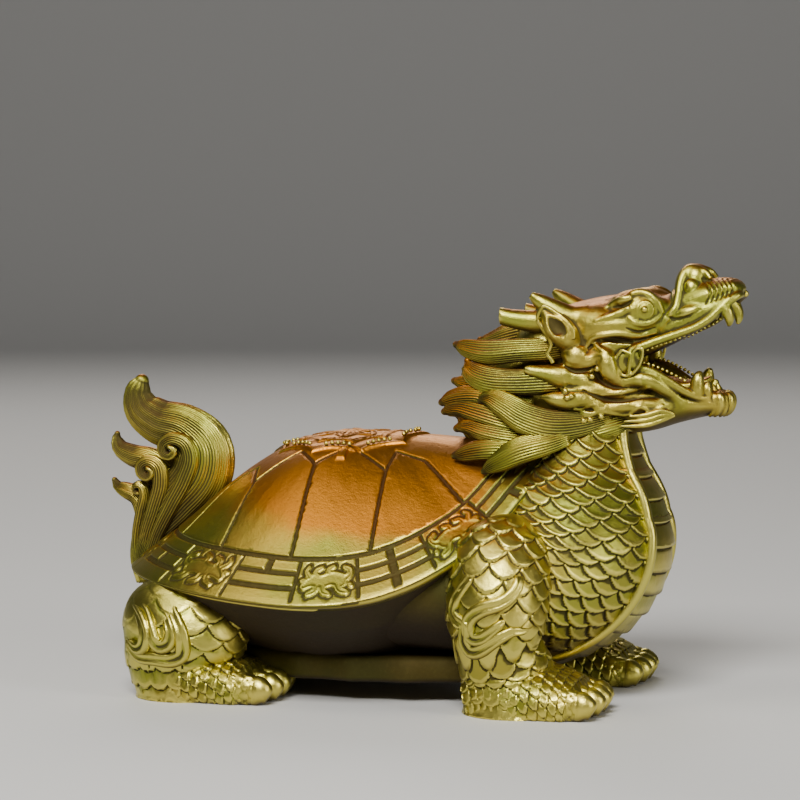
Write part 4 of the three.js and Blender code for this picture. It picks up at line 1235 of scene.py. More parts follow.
# Head
# Rows of the head and jaw are x, y, z and half sizes.
UPPER_HEAD = [
    (31, 0, 91, 9, 9), (40, 0, 93.5, 12.5, 10), (49, 0, 96, 13.5, 9.8), (57, 0, 97.5, 12, 9.3),
    (65, 0, 98, 9, 8.2), (72, 0, 100.5, 8.3, 7.8), (78, 0, 103, 8.2, 5.4), (82.5, 0, 106, 7, 2.6),
    (84.6, 0, 107, 5, 1.2),
]
LOWER_JAW = [
    (44, 0, 80, 11, 8), (53, 0, 78.5, 11, 8.3), (61, 0, 78.5, 9.8, 7.6), (68, 0, 78.6, 8.6, 5.6),
    (75, 0, 78.4, 7.5, 3.6), (80, 0, 78.2, 5.2, 2.4),
]
MOUTH = [
    (54, 0, 87, 6.6, 2), (61, 0, 88, 8.2, 3.6), (66, 0, 89, 10, 4.5), (70, 0, 90.2, 11, 5.3),
    (77, 0, 92.8, 11, 6.8), (84, 0, 96.4, 11, 8.2), (92, 0, 99.6, 11, 9),
]
TONGUE = [
    (55, 0, 83.4, 4.6, 1.6), (64, 0, 84, 4.8, 1.4), (71, 0, 83.2, 4.2, 1.3),
    (75.4, 0, 84.2, 2.6, 1), (76.8, 0, 85.2, 0.8, 0.5),
]
HOOD = [
    (69, 0, 102.8, 8, 5.4), (74, 0, 105.4, 8.2, 5), (78, 0, 107.2, 7.8, 3.8),
    (81, 0, 108.2, 6.9, 2.9), (83.2, 0, 108.3, 5.4, 2.2), (84.6, 0, 107.8, 3.2, 1.3),
    (85, 0, 107.4, 1.4, 0.5),
]
# The rest is rows of x, z, y and half sizes or a radius. Those of the face are drawn on
# HEAD_PLANE, those of the snout, lips and fangs on SNOUT_PLANE. Folds, lines and ridges are rows
# of x, z and radius, laid on the skin.
HEAD_PLANE = -12
SNOUT_PLANE = -7
SKULL_MASSES = [
    (50, 98.6, -8, 9.4, 6.2, 5.8), (59.8, 102.8, -7.6, 7.6, 5, 5.4), (51, 91, -8.6, 6.4, 5.2, 5.2),
    (45, 86, -9, 5.6, 5.4, 5.6), (45, 79, -10, 6.4, 4.6, 4.6), (54, 83, -8, 6.4, 4.8, 5),
    (67, 101, -4.6, 5.4, 4.4, 4.6), (56, 94.6, -8, 7.4, 4.2, 3.6),
]
FACE_MUSCLES = [
    [(46.4, 96.8, -10.6, 1.8), (49.4, 98.2, -10.6, 2.3), (53, 99.2, -10.6, 2.7),
     (58, 99, -10, 2.5), (62.6, 99, -8.8, 2), (66.6, 99.8, -7.4, 1.4)],
    [(40.6, 91.4, -12.6, 1.6), (43, 90.8, -13.6, 3.1), (45.6, 89.6, -13.6, 2.2),
     (47.8, 89.8, -13.4, 1.6), (49.6, 90.6, -12.8, 0.8)],
    [(48.8, 91.2, -13, 0.8), (51.2, 90.2, -14, 2), (52.2, 87.4, -14, 2.2), (53.8, 85.4, -13.4, 1.6),
     (56, 84, -12.4, 0.8)],
    [(44.6, 87.4, -12.6, 0.8), (44.9, 85, -13.4, 2.1), (47.2, 82.8, -13.2, 1.9),
     (51, 81.9, -12.8, 1.5), (55.6, 81.6, -12.2, 1)],
    [(55.4, 83.6, -11.4, 0.8), (59, 85, -11.6, 1.7), (63.4, 84.6, -10.8, 2),
     (67.6, 82.4, -9.4, 1.6), (71.6, 79.6, -7.8, 0.6)],
    [(43, 84.8, -12, 3.2), (39.4, 85.4, -14, 3), (36, 86, -15.4, 2.3), (32.8, 86.5, -16.4, 1.7),
     (30.4, 86.9, -17, 1.2), (29.4, 87, -17.2, 0.7)],
    [(34, 79.9, -17, 0.5), (37.4, 79.4, -17, 1.9), (41.6, 79.2, -16, 2.5), (46, 79.8, -14.4, 2.3),
     (49.4, 79, -13, 1.2)],
    [(43.6, 74.2, -14.4, 0.5), (47, 76.2, -14, 1.4), (52, 77.4, -12.4, 1.7), (57, 78, -11, 1.8),
     (62.4, 78.4, -9.6, 1.6), (68, 77.6, -8, 1)],
]
SNOUT_MUSCLES = [
    [(66.6, 100.4, -7, 0.5), (69, 101.2, -7.8, 1.4), (71.6, 102.1, -8, 1.8),
     (74.2, 103, -7.6, 1.5), (76.6, 104, -6.8, 0.5)],
    [(64, 97.4, -7, 1.4), (70, 99, -7, 2), (75, 101.6, -6.6, 2), (79, 104.6, -5.8, 1.6)],
]
UPPER_LIP = [
    (86.4, 107, -2.4, 0.8), (85, 106.6, -4.8, 1), (82.4, 105, -6.4, 1.05), (79.8, 103, -7.6, 1.05),
    (77.2, 100.6, -8.4, 1.05), (74, 98.6, -9, 1.05), (70, 97, -9.5, 1.1), (65, 95.3, -10.2, 1.15),
    (60, 93.5, -11.6, 1.2), (57, 92.1, -12.8, 1.2), (54.8, 90, -13.4, 0.9),
]
LOWER_LIP = [
    (78.4, 79.8, -4.8, 0.8), (74.6, 80.4, -7.4, 1), (70.6, 82, -8.8, 1.1),
    (66, 84.7, -9.8, 1.15), (62, 86.8, -10.6, 1.15), (58, 87.8, -11.6, 1),
]
SNOUT_RIDGES = [
    [(64.6, 98.4, -9, 0.5), (66.5, 101, -9, 0.85), (68.4, 103.4, -8.4, 1), (69.3, 106.5, -6.8, 1.1),
     (70, 109.8, -5.2, 1.2), (71.2, 112.2, -4, 1.2), (72.8, 113.5, -3, 1.1),
     (74.4, 112.8, -3, 0.9)],
    [(74.2, 113.2, -2.2, 1), (76.5, 112.6, -3, 1.1), (78, 110.8, -4.2, 0.8)],
]
FANGS = [
    [(80.2, 104.6, -5.6, 2), (81.6, 103.2, -6.4, 1.9), (82.5, 101.4, -6.6, 1.5),
     (82.7, 99.8, -6.4, 1), (82.5, 98.7, -6.2, 0.4)],
    [(78.6, 103.2, -6.2, 1.3), (79.2, 101.8, -6.4, 1), (79.2, 100.4, -6.2, 0.4)],
    [(74.4, 81.2, -6.6, 2), (74.3, 83.4, -7, 1.9), (74.7, 85.6, -6.8, 1.5), (75.4, 87, -6.2, 0.7)],
    [(77, 80.6, -5, 1.7), (77, 82.6, -5.4, 1.5), (77.4, 84.4, -5.2, 0.7)],
    [(79.6, 80, -2.6, 1.3), (79.4, 82, -2.8, 1.1), (79, 83.8, -2.6, 0.3)],
]
EYE_FOLDS = [
    [(55, 104.4, 0.6), (57.4, 106.4, 1), (60, 107.3, 1.2), (62.8, 106.8, 1.1), (65.2, 104.6, 0.9),
     (66.4, 102.2, 0.4)],
    [(57.2, 100.9, 0.3), (58.8, 99.7, 0.6), (61.6, 99.3, 0.7), (64.4, 100.3, 0.6),
     (66, 101.7, 0.3)],
    [(58, 106.1, 0.9), (55, 105.3, 1), (53, 104.3, 0.7), (51.3, 103.4, 0.2)],
    [(57.6, 103.4, 0.5), (55.6, 102.3, 1), (52.4, 101.2, 0.8), (48.4, 100, 0.2)],
]
FACE_LINES = [
    [(56.6, 98.2, 0.1), (60, 97.2, 0.35), (64.6, 98.4, 0.15)],
    [(53.4, 103.4, 0.1), (56.4, 103.9, 0.4), (58.4, 105.4, 0.2)],
    [(46.6, 92.6, 0.3), (49, 94.4, 0.5), (53, 95.2, 0.6), (58, 94.8, 0.5),
     (62, 95.4, 0.2)],
    [(40.4, 88, 0.2), (43, 86.8, 0.6), (46.4, 87.2, 0.6), (49, 88.2, 0.3)],
    [(45, 81.8, 0.2), (50, 80, 0.5), (55, 79.4, 0.6), (61, 80.4, 0.5),
     (66.6, 80.6, 0.2)],
    [(48.6, 86.8, 0.3), (50, 84.6, 0.6), (53, 83, 0.5), (57, 82.6, 0.2)],
    [(36, 81.6, 0.2), (41, 81.6, 0.4), (46, 81.6, 0.3)],
    [(39, 76.8, 0.3), (45, 77.2, 0.6), (49, 76.4, 0.3)],
    [(48.4, 95.2, 0.3), (51, 95.4, 0.7), (54.6, 95, 0.9), (58.4, 94.4, 0.4)],
    [(67.4, 101.4, 0.2), (69.6, 100.6, 0.4), (73.4, 101.4, 0.4), (76.2, 103.2, 0.2)],
]
FACE_RIDGES = [
    [(46.4, 93.6, 0.4), (47.8, 95.4, 0.7), (51, 96.4, 0.8), (55, 96.7, 0.8),
     (60, 96.3, 0.7), (65, 97.2, 0.4)],
    [(48.3, 94.5, 0.7), (49.5, 92.8, 0.9), (51.6, 91.8, 0.3)],
    [(50, 80.9, 0.3), (54, 81.4, 0.7), (59, 82.4, 0.8), (63, 83.2, 0.4)],
    [(34, 79.4, 0.3), (36.4, 77.4, 0.6), (40, 76.6, 0.7), (45, 77.4, 0.7),
     (48, 78.4, 0.6), (49.2, 77.4, 0.3)],
    [(44.4, 73.8, 0.5), (46.4, 75, 0.6), (49.4, 76.6, 0.6), (54, 76, 0.6),
     (57.5, 76, 0.6), (60.4, 78, 0.6), (63, 77, 0.5), (66.8, 78.2, 0.4)],
]
# The outline and the middle of each leaf on the cheek, as x and z
CHEEK_LEAVES = [
    ([(55.5, 92.5), (54, 90.5), (54.2, 88.3), (55.8, 86), (56.9, 86), (57.5, 88), (57.9, 91.2),
      (55.5, 92.5)], (56, 89.4)),
    ([(60.9, 93), (60.8, 91), (59.8, 88.3), (57.7, 86.2), (57.3, 88), (57.9, 91), (59.2, 92.8),
      (60.9, 93)], (59, 90)),
]
SHORT_HORN = [
    (44.4, 99.6, -9, 3.4), (40, 101.4, -10.6, 3.1), (36.2, 103.4, -11.6, 2.5),
    (33.2, 105.2, -12.2, 1.8), (31.4, 106.5, -12.6, 0.9),
]
# This horn's rows are x, y, z and radius
LONG_HORN = [
    (46, -9, 101, 3), (36, -11.5, 99.6, 3.1), (27, -13, 100.2, 2.5), (20.5, -14, 102, 1.7),
    (17.6, -14.2, 103, 0.6),
]
EAR = [
    (43.4, 93.6, -12.4, 2.4), (40.8, 95.6, -14.2, 3.6), (38, 98.4, -15.4, 3.6),
    (35.8, 100.8, -16, 2), (34.4, 102.8, -16.2, 0.6),
]
EAR_HOLLOW = [
    (35, 102.2, -18.9, 0.5), (36, 100.6, -19, 1.5), (37.8, 98.4, -19.1, 2.2),
    (39.4, 96.4, -18.9, 1.8), (39.8, 95, -18.4, 0.4),
]
# x and z of the roll round the ear
EAR_RIM = [
    (42.6, 95.2), (42.4, 97.4), (40.9, 99.6), (38, 101.8), (34.6, 103.4), (33, 100.3),
    (34.2, 98), (36, 95.4), (36.6, 94), (36.2, 92.4), (35.6, 91.2), (36.5, 90), (37.2, 88.8),
]
# x, z and y of the beads on the face, and their radius
FACE_BEADS = [
    (45, 74, -21.4), (46.7, 74.4, -21), (40.4, 81.6, -17.6), (40.8, 79.8, -18.4),
    (41.9, 80.3, -18.2), (50, 75.2, -14.4), (49, 87.5, -14.8), (47.5, 85.5, -15),
]
BEAD = 0.85
# Balls of the mid plane: x, y, z and half sizes
CHIN = (78.6, 0, 78.6, 3.4, 5, 3.2)
NOSE = (71.6, 0, 108.4, 4.6, 4.6, 6.2)
PALATE = [(81.4, 0, 103.4, 4.4, 5.4, 3.4), (76, 0, 100, 5, 5.4, 2.8)]
# Balls drawn on SNOUT_PLANE and, for the eye, on HEAD_PLANE
NOSE_SIDE = (74, 110.6, -2.4, 3.4, 3, 4)
NOSTRIL = (72.9, 108.2, -5.2, 2.2, 2, 2.7)
EYEBALL = (61.4, 103, -10, 3.5, 2.4, 3.3)
PUPIL = (61.5, 103, -12.2, 0.9, 0.9, 0.9)
# The middle and radius of the ring on the eyeball
EYE_X, EYE_Z, EYE_RING = 61.7, 102.9, 2.1


def drawn(rows, plane):
    """Rows of x, z, y and sizes, drawn on a plane, as rows of x, y, z and sizes in place."""
    return [sighted(x, y, z, plane) + tuple(sizes) for x, z, y, *sizes in rows]


def rolls(rows, plane, steps=40, sides=16):
    """A rounded roll along drawn rows, on both sides."""
    return pair(sweep(drawn(rows, plane), steps, sides))


def laid(clay, rows, plane, lift=0.0):
    """Ridges or grooves of x, z and radius that lie on the clay's skin on both sides."""
    line, _ = curve(rows, np.linspace(0, 1, 28))
    depth = np.zeros(len(line))
    for number, (x, z, _) in enumerate(line):
        y = float(plane)
        for _ in range(4):
            moved = sighted(x, y, z, plane)
            y = 0.5 * (y + clay.skin(moved[0], moved[2]))
        depth[number] = y
    for _ in range(4):
        depth[1:-1] = 0.25 * depth[:-2] + 0.5 * depth[1:-1] + 0.25 * depth[2:]
    rows = [
        (*sighted(x, y - lift, z, plane), radius) for (x, z, radius), y in zip(line, depth)
    ]
    return pair(sweep(rows, 60, 12))


def balls(rows, plane):
    """Rounded masses of drawn rows, on both sides."""
    forms = []
    for x, z, y, a, b, c in rows:
        forms += pair(ball(*sighted(x, y, z, plane), a, b, c, 28, 16))
    return forms


def face_shade(places):
    """Painted shade in the ear's hollow and in the mouth, over a slightly darker tone of the whole
    head.
    """
    x, y, z = places.T
    near = np.full(len(places), FAR)
    for ear_x, ear_y, ear_z, radius in drawn(EAR_HOLLOW, HEAD_PLANE):
        gap = np.sqrt((x - ear_x) ** 2 + (np.abs(y) + ear_y) ** 2 + (z - ear_z) ** 2)
        near = np.minimum(near, gap - radius)
    mouth = smooth((6.4 - np.abs(y)) / 1.5) * smooth((x - 54) / 4) * smooth((84 - x) / 4)
    mouth *= smooth((z - 82.5) / 2) * smooth((101 - z) / 3)
    return 0.025 + 0.07 * (1 - smooth((near - 0.2) / 0.6)) + 0.08 * mouth


def head_forms():
    """The head, joined and cut in one block of clay, from its large masses to its fine folds."""
    clay = Clay((24, -23, 69), (90.5, 23, 117), settings().head_cell / MM)
    clay.add([sweep(UPPER_HEAD, 60, 48), sweep(LOWER_JAW, 50, 48)], 1.2)
    clay.add([ball(*CHIN), ball(*NOSE)], 1.4)
    clay.add([hood_form()], 0.8)
    clay.cut([sweep(MOUTH, 50, 48, UP, 0.6)], 0.6)
    clay.cut([ball(*row) for row in PALATE], 0.8)
    clay.add([sweep(TONGUE, 30, 24)], 0.8)
    clay.add(balls(SKULL_MASSES, HEAD_PLANE), 2.0)
    for rows in FACE_MUSCLES:
        clay.add(rolls(rows, HEAD_PLANE), 1.9)
    for rows in SNOUT_MUSCLES:
        clay.add(rolls(rows, SNOUT_PLANE), 1.0)
    clay.add(balls([NOSE_SIDE], SNOUT_PLANE), 1.0)
    clay.add(rolls(UPPER_LIP, SNOUT_PLANE, 60, 18), 0.8)
    clay.add(rolls(LOWER_LIP, SNOUT_PLANE, 50, 18), 0.7)
    for rows in SNOUT_RIDGES:
        clay.add(rolls(rows, SNOUT_PLANE), 0.5)
    clay.add(balls([NOSTRIL], SNOUT_PLANE), 0.25)
    for rows in FANGS:
        clay.add(rolls(rows, SNOUT_PLANE, 20, 14), 0.25)
    clay.add(balls([EYEBALL], HEAD_PLANE), 0.6)
    turns = np.linspace(0, 2 * np.pi, 25)
    ring = [(EYE_X + EYE_RING * math.cos(a), EYE_Z + EYE_RING * math.sin(a), 0.3) for a in turns]
    clay.add(laid(clay, ring, HEAD_PLANE), 0.15)
    clay.add(balls([PUPIL], HEAD_PLANE), 0.15)
    for rows in EYE_FOLDS:
        clay.add(laid(clay, rows, HEAD_PLANE), 0.6)
    for rows in FACE_LINES:
        clay.cut(laid(clay, rows, HEAD_PLANE), 0.4)
    for rows in FACE_RIDGES:
        clay.add(laid(clay, rows, HEAD_PLANE), 0.4)
    for k in range(6):  # the wrinkles of the snout
        rows = [(75.6 + 1.4 * k, 111, 0.15), (77.2 + 1.3 * k, 108.8, 0.28),
                (77.4 + 1.2 * k, 106.6 + 0.2 * k, 0.26), (76.4 + 1.3 * k, 104.4 + 0.4 * k, 0.1)]
        clay.cut(laid(clay, rows, SNOUT_PLANE, -0.06), 0.5)
    for outline, middle in CHEEK_LEAVES:
        rim = [(x, z, -14, 0.45) for x, z in outline]
        clay.add(balls([(*middle, -12.6, 1.9, 1.7, 3.1)], HEAD_PLANE), 0.4)
        clay.cut(balls([(*middle, -15, 1.15, 1.2, 2.3)], HEAD_PLANE), 0.4)
        clay.add(rolls(rim, HEAD_PLANE, 48, 10), 0.2)
    clay.add(rolls(SHORT_HORN, HEAD_PLANE, 40, 20), 0.8)
    clay.add(pair(sweep(LONG_HORN, 40, 20)), 0.8)
    clay.add(rolls(EAR, HEAD_PLANE, 30, 24), 0.6)
    clay.cut(rolls(EAR_HOLLOW, HEAD_PLANE, 30, 18), 0.3)
    clay.add(rolls([(x, z, -16.6, 0.6) for x, z in EAR_RIM], HEAD_PLANE, 70, 12), 0.3)
    clay.add(balls([(*place, BEAD, BEAD, BEAD) for place in FACE_BEADS], HEAD_PLANE), 0.15)
    for k in range(3):  # the beard's strands
        clay.add(rolls([
            (70, 76.2 - 0.2 * k, -8.8, 0.25), (66.4, 77 - 1.2 * k, -10, 0.66),
            (62, 75.8 - 1.3 * k, -11.2, 0.76), (57.6 - 1.4 * k, 75.4 - 1.3 * k, -12, 0.25),
        ], HEAD_PLANE, 24, 12), 0.08)
    for k in range(9):  # the lobes of the chin
        turn = math.radians(-100 + 25 * k)
        x, y = 79 + 3 * math.cos(turn), 4.7 * math.sin(turn)
        wide = 1.05 + 0.25 * math.sin(2.3 * k)
        lobe = [(x - 0.8, y * 0.8, 81.6, 0.4), (x, y, 80.4, wide), (x + 0.3, y, 78.4, wide),
                (x - 0.4, y * 0.95, 76.4, 0.8), (x - 1.6, y * 0.8, 75.2, 0.4)]
        clay.add([sweep(lobe, 20, 14, AHEAD)], 0.3)
    return [clay.form()]


def hood_form():
    """The hood of the snout, with wrinkles that run down to the lip."""
    grid = sections(HOOD, 110, 90)
    lean = 1.2 * np.cos(2 * all_round(90)[None])
    wave = np.abs(np.sin(np.pi * (run(grid).mean(1)[:, None] + lean) / 1.25)) ** 0.6
    share = np.linspace(0, 1, 111)[:, None]
    ends = smooth((share - 0.3) * 5), smooth((0.96 - share) * 8)
    return tube(raised(grid, 0.2 * (wave - 0.5) * ends[0] * ends[1]))


# Mane
# Locks of fine strands sweep back: rows of x, z, y, half thickness and half height on MANE_PLANE,
# each to the middle of its rounded tip. Nape locks are rows of x, y, z and half sizes.
MANE_PLANE = -19
LOCKS = [
    [(45, 93.8, -9, 2.4, 2.6), (37, 92.8, -12.4, 2.8, 2.8), (30, 92.4, -13.8, 3, 2.9),
     (22, 91.8, -13.8, 2.8, 3.1), (17.4, 92.5, -13, 2.2, 2.5), (14.6, 93.3, -12.2, 1.5, 1.6),
     (13.6, 93.6, -12, 1, 1)],
    [(48, 85.2, -10, 2.4, 2.6), (37, 84.4, -13.6, 3, 3.3), (28, 84, -15, 3.2, 3.3),
     (21.6, 84.6, -15, 3, 3.3), (17.8, 86.6, -14, 2.4, 2.6), (16.5, 88.7, -13.4, 1.4, 1.5),
     (16.6, 89.4, -13.2, 1, 1)],
    [(26, 82, -10, 2.4, 2.6), (19, 83, -10.6, 2.2, 2.4), (15, 83.8, -10, 1.6, 1.6),
     (13.2, 84.2, -9.6, 1, 1)],
    [(34, 77.6, -12, 2.6, 2.8), (26, 78.6, -14.6, 2.6, 2.8), (20, 80.4, -14.6, 2.4, 2.6),
     (15, 80.2, -13.6, 2.2, 2.4), (11.4, 79.2, -12.6, 1.7, 1.9), (9.8, 78.6, -12.2, 1.1, 1.1)],
    [(36, 72, -13, 2.4, 2.6), (27, 74, -15.4, 2.8, 3), (20, 76, -15, 2.6, 2.9),
     (14.6, 77.2, -13.6, 2, 2.2), (11.4, 76.6, -12.6, 1.4, 1.6), (10.4, 76.2, -12.4, 1, 1)],
    [(55, 75.6, -9.6, 2, 2.2), (46, 73.4, -14, 3, 3.6), (38, 72.9, -17, 3.6, 4.2),
     (32, 74.6, -18.2, 3.6, 4), (27, 77.6, -18, 3.2, 3.4), (23, 79.8, -17, 2.4, 2.5),
     (20.8, 79.8, -16.4, 1.6, 1.6), (20, 79.3, -16.2, 1.2, 1.2)],
    [(36, 69.4, -14, 2.2, 2.4), (28, 69.7, -16.4, 2.4, 2.6), (21.4, 70.9, -16.4, 2.2, 2.4),
     (17, 72.3, -15.4, 1.7, 1.8), (14.6, 72.2, -14.8, 1.4, 1.4), (13.8, 71.9, -14.6, 1.1, 1.1)],
    [(34, 66.6, -15, 2.4, 2.6), (25, 66.8, -17, 2.6, 2.8), (18.6, 66.2, -16.2, 2.2, 2.5),
     (14.8, 65.2, -15, 1.5, 1.7), (13.1, 64.8, -14.6, 1, 1)],
    [(43, 70.6, -15.6, 2.4, 2.4), (36, 68.2, -19, 3, 3.2), (30, 66.2, -20.4, 3, 3.4),
     (25.6, 63.8, -20.4, 2.4, 2.8), (22.2, 61.8, -19.4, 1.5, 1.7), (21, 60.9, -19, 1, 1)],
    [(63.4, 76, -6.4, 0.35, 0.35), (60.4, 74.9, -7.6, 1, 1.3), (55, 73, -10.6, 1.8, 2.6),
     (49, 71.2, -13, 1.4, 1.8), (46.2, 70, -14, 0.7, 0.8)],
]
NAPE_LOCKS = [
    [(40, 0, 94, 7, 4), (30, 0, 92.6, 7.6, 4.4), (21, 0, 91.2, 6.4, 4.2), (14.8, 0, 91.6, 3, 2.4),
     (13, 0, 92, 1.6, 1.4)],
    [(36, 0, 84, 9, 6), (26, 0, 82.8, 9.4, 6), (17.4, 0, 82.4, 6.6, 4), (12, 0, 84, 2.6, 2),
     (10.8, 0, 84.6, 1.4, 1.2)],
    [(36, 0, 75, 10, 7), (25, 0, 72, 10, 7), (16, 0, 71.6, 7, 4.4), (10.4, 0, 73.4, 2.8, 2),
     (9, 0, 74, 1.4, 1.2)],
]
# Balls of the neck's mass: x, y, z and half sizes
NECK = [(31, 0, 82, 13, 12.5, 13), (35, 0, 94, 10, 14, 6.5), (33, 0, 70, 12, 16, 9)]


def lock(rows, reference=UP, visible=180, step=1.3, samples=5, seed=1):
    """A lock of hair: fine raised strands that run its length to a rounded tip. Its face is fine
    over the visible degrees to each side and coarse behind. Samples are places across a strand."""
    depth, clumping = 0.36, 0.16
    rows = np.array(rows, float)
    line, _ = curve(rows, np.linspace(0, 1, 200))
    gaps = np.linalg.norm(np.diff(line[:, :3], axis=0), axis=1)
    far = np.concatenate([[0], np.cumsum(gaps)])
    tip = rows[-1, 3:5].mean()
    ahead = far[-1] + tip
    places = np.concatenate([
        np.arange(0, far[-1], step), far[-1] + tip * np.sin(np.linspace(0, 1.45, 7)),
    ])
    t = np.interp(np.minimum(places, far[-1]), far, np.linspace(0, 1, 200))
    around = np.pi * math.sqrt(2 * (line[:, 3] ** 2 + line[:, 4] ** 2).max())
    strands = int(round(around / settings().strand_pitch * MM))
    fine = np.radians(visible)
    angle = np.linspace(-fine, fine, int(strands * samples * visible / 180) + 1)
    if visible < 180:
        angle = np.concatenate([angle, np.linspace(fine, 2 * np.pi - fine, 10)[1:-1]])
    else:
        angle = angle[:-1]
    grid = sections([tuple(row) for row in rows], t, angle, reference)
    _, tangent = curve(rows, np.array([1.0]))
    past = np.maximum(places - far[-1], 0)
    shrink = np.sqrt(np.maximum(0, 1 - (past / tip) ** 2))
    middle = grid.mean(1, keepdims=True)
    grid = middle + (grid - middle) * shrink[:, None, None] + past[:, None, None] * tangent[0]
    random = np.random.default_rng(seed)
    drift = 0.5 * np.sin(places[:, None] * 0.16 + random.uniform(0, 6))
    turn = angle[None] * strands / 2 + drift
    clump = np.sin(angle[None] * (strands // 5) + drift * 1.5 + random.uniform(0, 6))
    wave = np.abs(np.sin(turn)) ** 0.7 - 0.55
    height = depth * wave * (1 + 0.35 * grain(wave.shape, seed + 40, 12)) + clumping * clump
    height *= smooth((ahead - places - 0.6) / 3)[:, None]
    return tube(raised(grid, height))


def mane_forms():
    """The locks of both sides and of the nape, round the mass of the neck."""
    forms = []
    for number, rows in enumerate(LOCKS):
        forms += pair(lock(drawn(rows, MANE_PLANE), visible=112, seed=number))
    for number, rows in enumerate(NAPE_LOCKS):
        forms.append(lock(rows, LEFT, samples=4, seed=20 + number))
    return forms + [ball(*row) for row in NECK]


# Tail
# It has one main flame and two small ones in the middle, and three stems on each face that end in
# curls: rows of x, z, y, half width and half thickness on TAIL_PLANE.
FLAMES = [
    [(-78, 27, 0, 2.6, 4), (-78.4, 34, 0, 4, 4.6), (-75, 42, 0, 6, 5), (-68.6, 49.6, 0, 8, 5.6),
     (-62.4, 57, 0, 8.8, 6), (-61.6, 63.6, 0, 8.2, 6), (-66.4, 68.4, 0, 6.8, 5.4),
     (-74.2, 70.6, 0, 6, 4.6), (-79.2, 74.2, 0, 5, 3.8), (-80.4, 78.4, 0, 3.6, 3),
     (-79.6, 80.9, 0, 2.5, 2.4), (-79.3, 81.6, 0, 1.9, 2)],
    [(-70, 54, 0, 4, 4.6), (-76, 59.8, 0, 3.4, 4.4), (-82, 61.4, 0, 2.8, 3.6),
     (-85.8, 63.4, 0, 2, 2.6), (-86.8, 66, 0, 1.2, 1.6), (-86.6, 67, 0, 0.8, 1)],
    [(-77, 44, 0, 3.4, 4), (-80, 50, 0, 2.6, 3.6), (-84, 51.8, 0, 2, 2.8),
     (-86.6, 53, 0, 1.2, 1.6), (-87.4, 54.4, 0, 0.8, 1)],
]
TAIL_PLANE = -6
STEMS = [
    [(-77.6, 31, -2.6, 1.2, 1.6), (-74.6, 40, -3.8, 1.8, 2), (-70.4, 48, -4.8, 2.2, 2.2),
     (-66.4, 55, -5.4, 2.4, 2.2), (-64.4, 61, -5.8, 2.3, 2.2), (-66, 65, -6, 2, 2),
     (-69.8, 66.2, -6, 1.7, 1.8), (-72.6, 64.6, -6, 1.4, 1.7), (-72.4, 62, -6, 1.2, 1.6),
     (-70.4, 61.4, -6.2, 1, 1.6), (-69.4, 63, -6.4, 0.9, 1.5), (-70.6, 63.8, -6.6, 0.8, 1.4)],
    [(-79, 31, -2.2, 1.2, 1.6), (-78, 39, -3.2, 1.7, 1.9), (-75.4, 47, -4.2, 2, 2),
     (-73.4, 54, -4.8, 2.1, 2), (-74, 58.6, -5.2, 1.9, 2), (-76.8, 60, -5.4, 1.6, 1.8),
     (-79.2, 58.6, -5.4, 1.4, 1.7), (-79, 56.2, -5.4, 1.2, 1.6), (-77, 55.4, -5.6, 1, 1.5),
     (-76, 56.8, -5.8, 0.9, 1.4), (-77, 57.8, -6, 0.8, 1.3)],
    [(-80.6, 31, -1.8, 1, 1.4), (-80.8, 39, -2.8, 1.4, 1.7), (-79.4, 46, -3.4, 1.6, 1.8),
     (-78.4, 50.6, -3.8, 1.5, 1.7), (-79.2, 53, -4, 1.2, 1.6), (-80.8, 53, -4, 1, 1.5),
     (-81.2, 51.6, -4, 0.8, 1.4), (-80.2, 51, -4.2, 0.7, 1.3)],
]


def tail_forms():
    """The flames of the mid plane and the curling stems on both faces."""
    forms = []
    for number, rows in enumerate(FLAMES):
        forms.append(lock(drawn(rows, TAIL_PLANE), LEFT, samples=4, seed=60 + number))
    for number, rows in enumerate(STEMS):
        forms += pair(lock(drawn(rows, TAIL_PLANE), LEFT, step=0.8, samples=4, seed=70 + number))
    return forms


# Cords and beads, made by node trees


def tree_of(name, *numbers):
    """An empty geometry node tree with a geometry, some numbers and a material as its inputs, and
    its input node."""
    tree = bpy.data.node_groups.new(name, "GeometryNodeTree")
    inputs = [("Geometry", "NodeSocketGeometry")]
    inputs += [(label, "NodeSocketFloat") for label in numbers]
    for label, kind in (*inputs, ("Material", "NodeSocketMaterial")):
        tree.interface.new_socket(label, in_out="INPUT", socket_type=kind)
    tree.interface.new_socket("Geometry", in_out="OUTPUT", socket_type="NodeSocketGeometry")
    return tree, tree.nodes.new("NodeGroupInput")


def fitted(tree, kind, inputs, **parts):
    """A new node with its parts set, and each input set to a value or joined to a socket."""
    node = tree.nodes.new("GeometryNode" + kind)
    for name, value in parts.items():
        setattr(node, name, value)
    for name, value in inputs.items():
        if isinstance(value, bpy.types.NodeSocket):
            tree.links.new(value, node.inputs[name])
        else:
            node.inputs[name].default_value = value
    return node


def chained(tree, start, *nodes):
    """Leads the geometry through the nodes, makes it real and paints it."""
    real = fitted(tree, "RealizeInstances", {})
    paint = fitted(tree, "SetMaterial", {"Material": start.outputs["Material"]})
    socket = start.outputs["Geometry"]
    for node in (*nodes, real, paint):
        tree.links.new(socket, node.inputs[0])
        socket = node.outputs[0]
    tree.links.new(socket, tree.nodes.new("NodeGroupOutput").inputs[0])
    return tree


def path_object(name, lines):
    """A curve object with one open line for each list of places, in squares."""
    shape = bpy.data.curves.new(name, "CURVE")
    shape.dimensions = "3D"
    for line in lines:
        spline = shape.splines.new("POLY")
        spline.points.add(len(line) - 1)
        for point, (x, y, z) in zip(spline.points, line):
            point.co = ((x + DRAWING_SHIFT) * MM, y * MM, z * MM, 1)
    return placed(name, shape)


